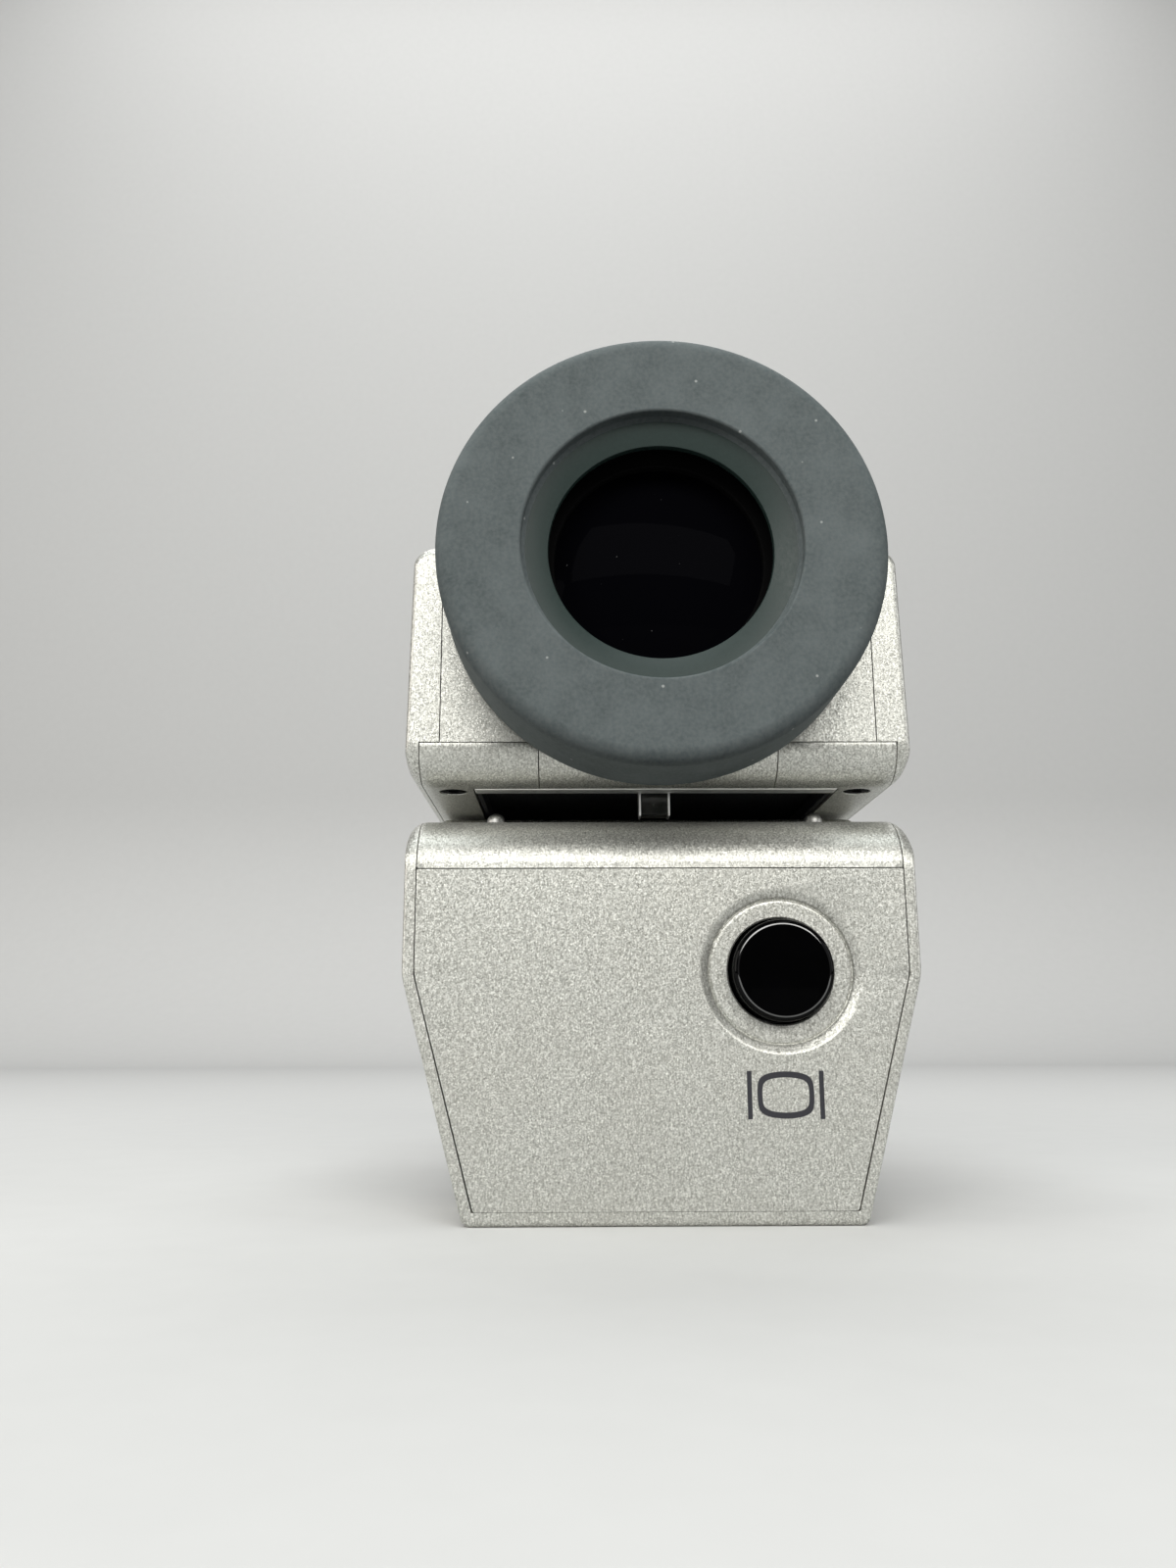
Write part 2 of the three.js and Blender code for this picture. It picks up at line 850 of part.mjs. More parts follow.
// A comb of contact strips on the tongue, joined by the bar at their root.
function plugContacts() {
  const z0 = plugZ + plug.tongueHalfHeight;
  const z1 = z0 + plug.contactThickness;
  const half = ((plug.contactCount - 1) * plug.contactPitch + plug.contactWidth) / 2;
  const strips = [box(-half, half, plugFaceY, plugFaceY + plug.contactWidth, z0, z1)];
  for (let i = 0; i < plug.contactCount; i++) {
    const x = -half + i * plug.contactPitch;
    const end = plugFaceY + plug.shellLength - plug.tongueSetback * 2;
    strips.push(box(x, x + plug.contactWidth, plugFaceY, end, z0, z1));
  }
  return joined(...strips);
}

// Hinge

function hingePin(side) {
  const ends = [side * hinge.pinInner, side * (armEnd - ease)].sort((a, b) => a - b);
  return rodX(hinge.pinRadius, ends[0], ends[1], hingeY, hingeZ);
}

function hingeWasher(side) {
  const ends = [side * washerStart, side * (washerStart + hinge.washerThickness)].sort((a, b) => a - b);
  return rodX(hinge.washerRadius, ends[0], ends[1], hingeY, hingeZ).subtract(
    rodX(hinge.pinRadius + ease, -far, far, hingeY, hingeZ),
  );
}

function hingeFlex() {
  const end = hinge.pinInner - slack;
  const core = rodX(hinge.flexInnerRadius, -far, far, hingeY, hingeZ);
  return rodX(hinge.flexOuterRadius, -end, end, hingeY, hingeZ).subtract(core);
}

// A knuckle round the hinge axis with a neck up to the head's chassis.
function knuckle(radius, bore, neck, x0, x1) {
  const round = rodX(radius, x0, x1, hingeY, hingeZ, steps.round);
  const stalk = box(x0, x1, hingeY - neck, hingeY + neck, hingeZ, trayZ);
  return round.add(stalk).subtract(rodX(bore, -far, far, hingeY, hingeZ));
}

function flexKnuckle() {
  const half = hinge.tunnelHalfWidth;
  return knuckle(hinge.tunnelRadius, hinge.tunnelBoreRadius, hinge.tunnelNeckHalfWidth, -half, half);
}

function hingeArm(side) {
  const ends = [side * armStart, side * armEnd].sort((a, b) => a - b);
  return knuckle(hinge.armRadius, hinge.pinRadius + ease, hinge.armNeckHalfWidth, ends[0], ends[1]);
}

// Head: one outer form, hollowed and cut along its seams

function headSolid(inset) {
  const bottom = headBottomZ + inset;
  const rear = rearY + inset;
  const front = frontY - inset;
  const low = headHalf - inset;
  const high = headHalf - head.leanWidth - inset;
  const roundness = (radius) => Math.max(radius - inset, slack);
  const block = alongY(
    mirrored([
      [low, bottom, roundness(head.bottomCornerRadius)],
      [high, headTopZ - inset, roundness(head.topCornerRadius)],
    ]),
    rear,
    front,
  );
  const loaf = alongY(
    mirrored([
      [humpHalf + hump.flareWidth - inset, bottom + overrun],
      [humpHalf + hump.flareWidth - inset, headTopZ - inset],
      [humpHalf - inset, headTopZ - inset, hump.flareRadius],
      [humpHalf - inset, humpTopZ - inset, roundness(hump.cornerRadius)],
    ]),
    rear,
    front,
  );
  const side = alongX(
    outline([
      [rear, bottom, roundness(head.bandRadius)],
      [rear, humpTopZ - inset, roundness(hump.rearEdgeRadius)],
      [rearY + hump.length, humpTopZ - inset, hump.slopeRadius],
      [front, headTopZ - hump.frontDropHeight - inset, roundness(hump.browRadius)],
      [front, bottom, roundness(head.frontFootRadius)],
    ]),
    -headHalf,
    headHalf,
  );
  const plan = alongZ(
    outline([
      [-low, rear, roundness(head.rearEdgeRadius)],
      [low, rear, roundness(head.rearEdgeRadius)],
      [low, front, roundness(head.frontCornerRadius)],
      [-low, front, roundness(head.frontCornerRadius)],
    ]),
    bottom,
    humpTopZ,
  );
  return block.add(loaf).intersect(side).intersect(plan);
}

const headOuter = headSolid(0);
const headShell = headOuter.subtract(headSolid(head.wallThickness));
const headInner = headSolid(head.wallThickness + slack);
const coverSplitZ = headTopZ - head.wallThickness - slack;

function sideCover(side) {
  const upper = side * (frameHalf + seam / 2);
  const lower = side * (bandHalf + seam / 2);
  const outer = side * far;
  const zone = joined(
    box(Math.min(upper, outer), Math.max(upper, outer), -far, far, bandZ + seam / 2, far),
    box(Math.min(lower, outer), Math.max(lower, outer), -far, far, 0, bandZ + seam),
  );
  return headShell.intersect(zone);
}

function topHeadCover() {
  const half = frameHalf - seam / 2;
  return headShell.intersect(
    box(-half, half, rearY + head.frameThickness + seam, far, coverSplitZ + seam / 2, far),
  );
}

function frontCover() {
  const half = frameHalf - seam / 2;
  return headShell.intersect(
    box(-half, half, hingeY, far, bandZ + seam / 2, coverSplitZ - seam / 2),
  );
}

function rearFrame() {
  const half = frameHalf - seam / 2;
  return headOuter
    .intersect(box(-half, half, -far, rearY + head.frameThickness, bandZ + seam / 2, far))
    .subtract(rodY(frameHole, -far, far, 0, axisZ, steps.turn));
}

function bandZone(half, grow) {
  return box(-half, half, -far, rearY + insert.length + grow, -far, bandZ - seam / 2);
}

function bandInsert() {
  return headShell.intersect(bandZone(insert.halfWidth - seam / 2, -seam / 2));
}

function bottomCover() {
  const half = bandHalf - seam / 2;
  const screwY = rearY + headScrew.setback;
  const bossZ = headBottomZ + head.wallThickness / 2;
  const bosses = joined(
    ...[-1, 1].map((side) => rodZ(headScrew.bossRadius, bossZ, trayZ, side * headScrewX, screwY)),
  );
  const seatZ = headBottomZ + headScrew.sunkDepth + headScrew.height + ease;
  const cuts = joined(
    bandZone(insert.halfWidth + seam / 2, seam / 2),
    box(-recessHalf, recessHalf, rearY + recess.setback, rearY + recess.endSetback, 0, bandZ),
    box(
      -hinge.tunnelHalfWidth - slack,
      hinge.tunnelHalfWidth + slack,
      hingeY - hinge.tunnelRadius - slack,
      hingeY + hinge.tunnelRadius + slack,
      0,
      trayTopZ,
    ),
    ...[-1, 1].flatMap((side) => [
      box(
        side < 0 ? -far : armStart - slack,
        side < 0 ? -armStart + slack : far,
        hingeY - hinge.armRadius - slack,
        hingeY + hinge.armRadius + slack,
        0,
        trayTopZ,
      ),
      rodZ(headScrew.radius + ease, 0, seatZ, side * headScrewX, screwY),
      rodZ(headScrew.shankRadius + ease, 0, far, side * headScrewX, screwY),
    ]),
  );
  const cover = headShell.intersect(box(-half, half, -far, far, -far, bandZ - seam / 2));
  return cover.add(bosses).subtract(cuts);
}

function recessLip() {
  const half = recessHalf - ease;
  const start = rearY + recess.setback + ease / 2;
  const low = headBottomZ + ease;
  return box(-half, half, start, start + recess.lipLength, low, low + recess.lipThickness);
}

function recessTray() {
  const half = recessHalf - ease;
  const start = rearY + recess.setback + recess.lipLength + ease * 2;
  const end = rearY + recess.endSetback - ease;
  const low = headBottomZ + ease;
  const floorZ = headBottomZ + recess.depth;
  const whole = box(-half, half, start, end, low, floorZ + recess.floorThickness);
  const room = box(
    -half + recess.floorThickness,
    half - recess.floorThickness,
    start + recess.floorThickness,
    end - recess.floorThickness,
    -far,
    floorZ,
  );
  return whole.subtract(room);
}

function restLatch() {
  const start = rearY + latch.setback + ease;
  return alongZ(
    outline([
      [-latch.halfWidth, start, latch.edgeRadius],
      [latch.halfWidth, start, latch.edgeRadius],
      [latch.halfWidth, start + latch.length, latch.edgeRadius],
      [-latch.halfWidth, start + latch.length, latch.edgeRadius],
    ]),
    headBottomZ - latch.dropHeight,
    headBottomZ + recess.depth - ease / 2,
  );
}

function headScrewSolid() {
  const slot = headScrew.radius / 2;
  return joined(
    rodZ(headScrew.radius, 0, headScrew.height, 0, 0),
    rodZ(headScrew.shankRadius, 0, trayTopZ - headBottomZ - headScrew.sunkDepth - ease, 0, 0),
  ).subtract(box(-slot, slot, -slot / 2, slot / 2, -overrun, headScrew.height / 2));
}

function headChassis() {
  const half = trayHalf;
  const floor = box(-half, half, rearY + tray.setback, frontY - tray.frontGap, trayZ, trayTopZ);
  const start = rearY + barrel.bulkheadSetback;
  const bulkhead = headInner
    .intersect(box(-half, half, start, start + barrel.bulkheadThickness, trayZ, far))
    .subtract(rodY(barrel.outerRadius + ease, -far, far, 0, axisZ, steps.turn));
  const postX = driverHalf - driver.postSetback;
  const posts = [-postX, postX].flatMap((x) =>
    [driverStart + driver.postSetback, driverStart + driver.length - driver.postSetback].map((y) =>
      rodZ(driver.postRadius, trayTopZ - tray.thickness / 2, driverZ, x, y),
    ),
  );
  const screws = joined(
    ...[-1, 1].map((side) =>
      rodZ(headScrew.shankRadius + ease, 0, far, side * headScrewX, rearY + headScrew.setback),
    ),
  );
  return joined(floor.intersect(headSolid(head.wallThickness + ease)), bulkhead, ...posts).subtract(screws);
}

// Eyepiece, drawn about its own axis, with zero at the head's rear face

function eyepieceBarrel() {
  const flangeY0 = barrel.bulkheadSetback + barrel.bulkheadThickness;
  const tube = turned([
    [barrel.innerRadius, -barrel.frontLength],
    [barrel.outerRadius, -barrel.frontLength],
    [barrel.outerRadius, flangeY0],
    [barrel.flangeRadius, flangeY0],
    [barrel.flangeRadius, flangeY0 + barrel.flangeThickness],
    [barrel.outerRadius, flangeY0 + barrel.flangeThickness],
    [barrel.outerRadius, barrel.backLength],
    [barrel.innerRadius, barrel.backLength],
    [barrel.innerRadius, -barrel.frontLength],
  ]);
  const half = focusPin.radius + focusPin.grooveGap;
  const slotEnd = -focusPin.setback + cell.travel + half;
  return tube.subtract(box(0, dialOuter, -far, slotEnd, -half, half));
}

// The groove that the pin runs in: it climbs along the axis as it goes round the dial.
function camGroove() {
  const half = focusPin.radius + focusPin.grooveGap;
  const reach = dial.swing + THREE.MathUtils.radToDeg((focusPin.radius * 2) / dial.skirtRadius);
  const inner = dial.skirtRadius / 2;
  const outer = dialBore + dial.grooveDepth;
  const places = [];
  const faces = [];
  for (let i = 0; i <= steps.helix; i++) {
    const degrees = THREE.MathUtils.lerp(-reach, reach, i / steps.helix);
    const angle = THREE.MathUtils.degToRad(degrees);
    const y = -focusPin.setback - (degrees / dial.swing) * cell.travel;
    for (const [radius, side] of [[inner, -half], [outer, -half], [outer, half], [inner, half]]) {
      places.push(radius * Math.cos(angle), y + side, -radius * Math.sin(angle));
    }
    if (i === 0) continue;
    const a = (i - 1) * 4;
    for (let k = 0; k < 4; k++) {
      const next = (k + 1) % 4;
      faces.push(a + k, a + next, a + 4 + next, a + k, a + 4 + next, a + 4 + k);
    }
  }
  const last = steps.helix * 4;
  faces.push(0, 3, 2, 0, 2, 1, last, last + 1, last + 2, last, last + 2, last + 3);
  const geometry = new THREE.BufferGeometry();
  geometry.setAttribute("position", new THREE.Float32BufferAttribute(places, 3));
  geometry.setIndex(faces);
  return toSolid(geometry);
}

const dialBore = barrel.outerRadius + slack - ease / 2;

function dioptreDial() {
  const body = turned([
    [dial.coneRadius, -dial.frontLength],
    [dialOuter, -dial.frontLength],
    [dialOuter, -eyecup.standGap],
    [dial.skirtRadius, -eyecup.standGap],
    [dial.skirtRadius, dial.skirtLength],
    [dialBore, dial.skirtLength],
    [dialBore, -dial.flangeLength],
    [dial.coneInnerRadius, -dial.flangeLength],
    [dial.coneInnerRadius, -dial.frontLength + dial.coneDepth],
    [dial.coneRadius, -dial.frontLength],
  ]);
  return body.subtract(camGroove());
}

function dialRetainer() {
  const end = dial.skirtLength - ease;
  const start = end - dial.retainerThickness;
  return turned(ringProfile(dial.skirtRadius + ease / 2, dial.retainerRadius, start, end));
}

function eyecupSolid() {
  const front = -eyecup.length;
  const profile = [
    [eyecup.holeRadius, front + eyecup.rimRadius],
    [eyecup.holeRadius + eyecup.rimRadius, front],
  ];
  for (let i = 0; i <= steps.fillet; i++) {
    const angle = ((i / steps.fillet) * Math.PI) / 2;
    profile.push([
      eyecup.radius - eyecup.edgeRadius * (1 - Math.sin(angle)),
      front + eyecup.edgeRadius * (1 - Math.cos(angle)),
    ]);
  }
  profile.push(
    [eyecup.radius, -eyecup.standGap],
    [eyecup.radius - eyecup.wallThickness, -eyecup.standGap],
    [eyecup.radius - eyecup.wallThickness, -dial.frontLength],
    [dial.coneRadius, -dial.frontLength],
    [eyecup.holeRadius, front + eyecup.rimRadius],
  );
  return turned(profile);
}

function lensCell() {
  return turned([
    [cell.lipRadius, -cell.frontLength],
    [cell.outerRadius, -cell.frontLength],
    [cell.outerRadius, cell.backLength],
    [cell.innerRadius, cell.backLength],
    [cell.innerRadius, -cell.frontLength + cell.lipThickness],
    [cell.lipRadius, -cell.frontLength + cell.lipThickness],
    [cell.lipRadius, -cell.frontLength],
  ]);
}

// A lens from the start of its edge, with a dome inside the flat land each side.
function lensSolid({ setback, edgeLength, frontHeight, backHeight }) {
  const dome = lens.radius - lens.landWidth;
  const front = [];
  const back = [];
  for (let i = 0; i <= steps.fillet; i++) {
    const share = i / steps.fillet;
    front.push([dome * share, setback - frontHeight * (1 - share * share)]);
    back.push([dome * share, setback + edgeLength + backHeight * (1 - share * share)]);
  }
  const rim = [[lens.radius, setback], [lens.radius, setback + edgeLength]];
  return turned([...front, ...rim, ...back.reverse()], 0, 0, steps.round);
}

function lensRing(inner, y0, y1) {
  return turned(ringProfile(inner, lens.radius, y0, y1), 0, 0, steps.round);
}

// The ring that keeps two lenses apart.
function spacer(before, after) {
  const start = before.setback + before.edgeLength + lens.gap;
  return lensRing(lens.spacerRadius, start, after.setback - lens.gap);
}

function pinSolid() {
  return rodX(focusPin.radius, cell.outerRadius + ease / 2, focusPin.tipRadius, -focusPin.setback, 0);
}

// Display and driver in the head

const displayY = rearY + display.setback;
const panelY = displayY + display.plateThickness;
const lightY = panelY + display.thickness + ease;
const lightEnd = lightY + display.lightThickness;
const driverStart = frontY - driver.frontGap - driver.length;
const driverZ = trayTopZ + driver.liftHeight;

function displayFrame() {
  const plate = headInner.intersect(
    box(-trayHalf, trayHalf, displayY, panelY, trayTopZ, far),
  );
  const wide = display.halfWidth + ease;
  const high = display.halfHeight + ease;
  const grow = display.collarWidth;
  const reach = high + grow;
  const collar = box(-wide - grow, wide + grow, displayY, lightEnd, axisZ - reach, axisZ + reach);
  const room = box(-wide, wide, panelY, far, axisZ - high, axisZ + high);
  const sight = box(
    -display.windowHalfWidth,
    display.windowHalfWidth,
    -far,
    far,
    axisZ - display.windowHalfHeight,
    axisZ + display.windowHalfHeight,
  );
  return plate.add(collar).subtract(room).subtract(sight);
}

function stackBlock(y0, y1) {
  return box(
    -display.halfWidth,
    display.halfWidth,
    y0,
    y1,
    axisZ - display.halfHeight,
    axisZ + display.halfHeight,
  );
}

function driverBoard() {
  return box(
    -driverHalf,
    driverHalf,
    driverStart,
    driverStart + driver.length,
    driverZ,
    driverZ + driver.thickness,
  );
}

function driverChip() {
  const middle = driverStart + driver.length / 2;
  const half = driver.chipHalfWidth;
  const z = driverZ + driver.thickness;
  return box(-half, half, middle - half, middle + half, z, z + driver.chipThickness);
}

// The flat cable from the back of the light unit down to the board.
function displayFlex() {
  const low = driverZ + driver.thickness;
  const back = lightEnd + ease;
  const half = display.flexHalfWidth;
  const middle = driverStart + driver.length / 2 - driver.chipHalfWidth;
  return joined(
    box(-half, half, back, back + display.flexThickness, low, axisZ + display.flexHeight),
    box(-half, half, back, middle - ease, low, low + display.flexThickness),
  );
}

// Assembly

const baseGroup = new THREE.Group();
baseGroup.add(
  piece("base_shell", baseShell(), "silver"),
  piece("base_top_cover", topCover(), "silver"),
  piece("rear_panel", rearPanel(), "silver"),
  piece("base_chassis", baseChassis(), "mattBlack"),
  piece("hinge_block", hingeBlock(), "silver"),
  piece("shoe_foot", shoeFoot(), "steel"),
  piece("main_board", mainBoard(), "circuit"),
  piece("tact_switch", tactSwitch(), "darkSteel"),
  piece("button_pad", buttonPad(), "silicone"),
  piece("plug_block", plugBlock(), "mattBlack"),
  piece("plug_shell", plugShell(), "steel"),
  piece("plug_tongue", plugTongue(), "mattBlack"),
  piece("plug_contacts", plugContacts(), "gold"),
  piece("hinge_flex", hingeFlex(), "amber"),
);
[
  ["left", -1],
  ["right", 1],
].forEach(([name, side]) => {
  baseGroup.add(
    piece("hinge_pin_" + name, hingePin(side), "steel"),
    piece("hinge_washer_" + name, hingeWasher(side), "steel"),
    at(piece("bumper_" + name, bumperDome(), "steel"), side * bumperX, rearY + bumper.setback, baseTopZ),
  );
});
[
  [-1, -1],
  [1, -1],
  [-1, 1],
  [1, 1],
].forEach(([across, along], i) => {
  const mesh = piece("shoe_screw_" + (i + 1), shoeScrew(), "darkSteel");
  baseGroup.add(at(mesh, across * screwPlace.x, along * screwPlace.y, slack));
});

const buttonGroup = new THREE.Group();
buttonGroup.add(piece("display_button", displayButton(), "glossBlack"));

const headGroup = new THREE.Group();
headGroup.add(
  piece("head_top_cover", topHeadCover(), "silver"),
  piece("head_front_cover", frontCover(), "silver"),
  piece("head_rear_frame", rearFrame(), "silver"),
  piece("head_band_insert", bandInsert(), "silver"),
  piece("head_bottom_cover", bottomCover(), "silver"),
  piece("recess_lip", recessLip(), "steel"),
  piece("recess_tray", recessTray(), "mattBlack"),
  piece("rest_latch", restLatch(), "steel"),
  piece("head_chassis", headChassis(), "mattBlack"),
  piece("flex_knuckle", flexKnuckle(), "silver"),
  piece("display_frame", displayFrame(), "mattBlack"),
  piece("display_panel", stackBlock(panelY + ease / 2, panelY + display.thickness), "glass"),
  piece("backlight", stackBlock(lightY, lightEnd), "white"),
  piece("driver_board", driverBoard(), "circuit"),
  piece("driver_chip", driverChip(), "mattBlack"),
  piece("display_flex", displayFlex(), "amber"),
);
[
  ["left", -1],
  ["right", 1],
].forEach(([name, side]) => {
  const screwMesh = piece("head_screw_" + name, headScrewSolid(), "darkSteel");
  headGroup.add(
    piece("head_side_" + name, sideCover(side), "silver"),
    piece("hinge_arm_" + name, hingeArm(side), "silver"),
    at(screwMesh, side * headScrewX, rearY + headScrew.setback, headBottomZ + headScrew.sunkDepth),
  );
});

const eyepieceGroup = new THREE.Group();
eyepieceGroup.position.set(0, rearY, axisZ);
headGroup.add(eyepieceGroup);

const dialGroup = new THREE.Group();
dialGroup.add(
  piece("eyecup", eyecupSolid(), "rubber"),
  piece("dioptre_dial", dioptreDial(), "cone"),
  piece("dial_retainer", dialRetainer(), "steel"),
);

const cellGroup = new THREE.Group();
const ringStart = fieldLens.setback + fieldLens.edgeLength + lens.gap;
cellGroup.add(
  piece("lens_cell", lensCell(), "mattBlack"),
  piece("eye_lens", lensSolid(eyeLens), "glass"),
  piece("middle_lens", lensSolid(middleLens), "glass"),
  piece("field_lens", lensSolid(fieldLens), "glass"),
  piece("cell_ring", lensRing(cellRing.innerRadius, ringStart, ringStart + cellRing.thickness), "mattBlack"),
  piece("front_spacer", spacer(eyeLens, middleLens), "mattBlack"),
  piece("rear_spacer", spacer(middleLens, fieldLens), "mattBlack"),
  piece("focus_pin", pinSolid(), "steel"),
);

eyepieceGroup.add(piece("eyepiece_barrel", eyepieceBarrel(), "mattBlack"), dialGroup, cellGroup);

const viewfinder = new THREE.Group();
viewfinder.add(baseGroup, buttonGroup, headGroup);

export default viewfinder;
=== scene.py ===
import math

import bmesh
import bpy
from mathutils import Matrix, Vector


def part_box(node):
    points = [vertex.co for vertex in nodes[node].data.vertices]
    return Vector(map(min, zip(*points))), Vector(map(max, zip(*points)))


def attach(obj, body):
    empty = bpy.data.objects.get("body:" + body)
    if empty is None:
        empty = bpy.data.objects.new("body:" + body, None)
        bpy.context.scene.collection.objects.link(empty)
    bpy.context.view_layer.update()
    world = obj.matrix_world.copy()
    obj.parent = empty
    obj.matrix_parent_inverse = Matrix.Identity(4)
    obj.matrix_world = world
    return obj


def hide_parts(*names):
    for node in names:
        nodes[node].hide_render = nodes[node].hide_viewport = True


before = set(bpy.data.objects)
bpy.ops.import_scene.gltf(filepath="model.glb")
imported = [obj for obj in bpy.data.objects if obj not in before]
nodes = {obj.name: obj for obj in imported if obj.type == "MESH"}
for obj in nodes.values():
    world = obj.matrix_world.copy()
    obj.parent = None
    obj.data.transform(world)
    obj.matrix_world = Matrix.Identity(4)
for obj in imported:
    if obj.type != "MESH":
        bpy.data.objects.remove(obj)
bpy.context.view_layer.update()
mm = 0.001
fullTurn = 2 * math.pi
quarterTurn = math.pi / 2
mergeDistance = 0.0004
onPlane = 0.01  # how near a plane a vert counts as lying on it
print("frame loaded")


# Small tools for the meshes, all in millimetres until a piece is finished

def corners(node):  # a node's lowest and highest corner
    low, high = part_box(node)
    return low / mm, high / mm


def vertsOf(geom):
    return [part for part in geom if isinstance(part, bmesh.types.BMVert)]


def edgesOf(geom):
    return [part for part in geom if isinstance(part, bmesh.types.BMEdge)]


def everything(bm):
    return bm.verts[:] + bm.edges[:] + bm.faces[:]


def outward(bm):
    bmesh.ops.recalc_face_normals(bm, faces=bm.faces[:])
    return bm


def merged(bm):
    bmesh.ops.remove_doubles(bm, verts=bm.verts[:], dist=mergeDistance)
    bmesh.ops.dissolve_degenerate(bm, dist=mergeDistance, edges=bm.edges[:])
    return bm


def closedUp(bm):
    return outward(merged(bm))


def soften(bm, geom, reach, steps, kind="EDGES", clamp=False):
    bmesh.ops.bevel(
        bm, geom=geom, affect=kind, offset=reach, segments=steps, profile=0.5, material=-1,
        clamp_overlap=clamp,
    )


def cutThrough(bm, geom, place, normal, outer=False):
    # one flat cut, where outer also takes away what lies beyond it
    return bmesh.ops.bisect_plane(
        bm, geom=geom, dist=1e-5, plane_co=place, plane_no=normal, clear_outer=outer, clear_inner=False
    )["geom_cut"]


def drawnOut(bm, edges):
    # the geometry drawn out of these edges, still in their place
    return bmesh.ops.extrude_edge_only(bm, edges=edges)["geom"]


def fillFlat(bm, edges, normal):
    bmesh.ops.triangle_fill(bm, edges=edges, use_beauty=True, use_dissolve=False, normal=normal)


def circle(bm, radius, segments, place):
    # a closed line of verts, each put in place by place(across, up)
    verts = bmesh.ops.create_circle(bm, cap_ends=False, radius=radius, segments=segments)["verts"]
    for vert in verts:
        vert.co = place(vert.co.x, vert.co.y)
    return verts


def rounded(points, closed=True):
    # a line through (across, up, radius, steps) corners in the XZ plane, each radius as an arc
    bm = bmesh.new()
    verts = [bm.verts.new((point[0], 0, point[1])) for point in points]
    for a, b in zip(verts, verts[1:]):
        bm.edges.new((a, b))
    if closed:
        bm.edges.new((verts[-1], verts[0]))
    for i, (vert, point) in enumerate(zip(verts, points)):
        if len(point) < 3:
            continue
        here = Vector(point[:2])
        before = Vector(points[i - 1][:2]) - here
        after = Vector(points[(i + 1) % len(points)][:2]) - here
        reach = point[2] / math.tan(before.angle(after) / 2)
        soften(bm, [vert], reach, point[3] if len(point) > 3 else 6, "VERTICES")
    return bm


def roundedBox(low, high, radius):
    places = (low.x, low.z), (high.x, low.z), (high.x, high.z), (low.x, high.z)
    return rounded([(x, z, radius) for x, z in places])


def mirrored(points):
    return points + [(-point[0], *point[1:]) for point in reversed(points)]


def turned(points, x=0, z=0, steps=96, closed=True):
    # a profile of (radius, along Y) corners spun round a line along Y
    bm = rounded(points, closed)
    for vert in bm.verts:
        vert.co = (vert.co.x + x, vert.co.z, z)
    bmesh.ops.spin(
        bm, geom=bm.verts[:] + bm.edges[:], cent=(x, 0, z), axis=(0, 1, 0), dvec=(0, 0, 0),
        angle=fullTurn, steps=steps, use_merge=True, use_duplicate=False,
    )
    return closedUp(bm)


def swung(bm, place, axis="X", angle=quarterTurn):
    # a turned form swung from Y to another axis, then moved to its place
    bmesh.ops.rotate(bm, verts=bm.verts[:], cent=(0, 0, 0), matrix=Matrix.Rotation(angle, 3, axis))
    bmesh.ops.translate(bm, verts=bm.verts[:], vec=place)
    return closedUp(bm)


def underside(node):
    # the middle of its lowest face
    low, high = corners(node)
    return Vector(((low.x + high.x) / 2, (low.y + high.y) / 2, low.z))


def boundary(bm, test):
    return [e for e in bm.edges if e.is_boundary and all(test(v.co) for v in e.verts)]


def prism(bm, along, start, end, edge=0, edgeSteps=3):
    # an outline drawn out along X, Y or Z, with its long rims rounded by edge
    bmesh.ops.contextual_create(bm, geom=bm.edges[:])
    far = set(vertsOf(bmesh.ops.extrude_face_region(bm, geom=bm.faces[:])["geom"]))
    for vert in bm.verts:
        a, b = vert.co.x, vert.co.z
        c = end if vert in far else start
        vert.co = {"x": (c, a, b), "y": (a, c, b), "z": (a, b, c)}[along]
    outward(bm)
    if edge:
        axis = "xyz".index(along)
        rims = [e for e in bm.edges if abs(e.verts[0].co[axis] - e.verts[1].co[axis]) < 1e-6]
        soften(bm, rims, edge, edgeSteps, clamp=True)
    return bm


def block(low, high, edge=0, edgeSteps=2):
    bm = bmesh.new()
    bmesh.ops.create_cube(bm, size=1)
    low, high = Vector(low), Vector(high)
    for vert in bm.verts:
        vert.co = [low[i] if vert.co[i] < 0 else high[i] for i in range(3)]
    if edge:
        soften(bm, bm.edges[:], edge, edgeSteps)
    return bm


def joinedTo(bm, *others):
    for other in others:
        spare = bpy.data.meshes.new("spare")
        other.to_mesh(spare)
        other.free()
        bm.from_mesh(spare)
        bpy.data.meshes.remove(spare)
    return bm


def split(bm, **places):
    # cuts across X, Y or Z at each place given for it
    for axis, spots in places.items():
        normal = Vector([float(name == axis) for name in "xyz"])
        for spot in spots:
            cutThrough(bm, everything(bm), normal * spot, normal)
    return bm


def removeFaces(bm, test):
    bmesh.ops.delete(bm, geom=[face for face in bm.faces if test(face)], context="FACES")


def keep(bm, test):
    removeFaces(bm, lambda face: not test(face.calc_center_median()))
    return bm


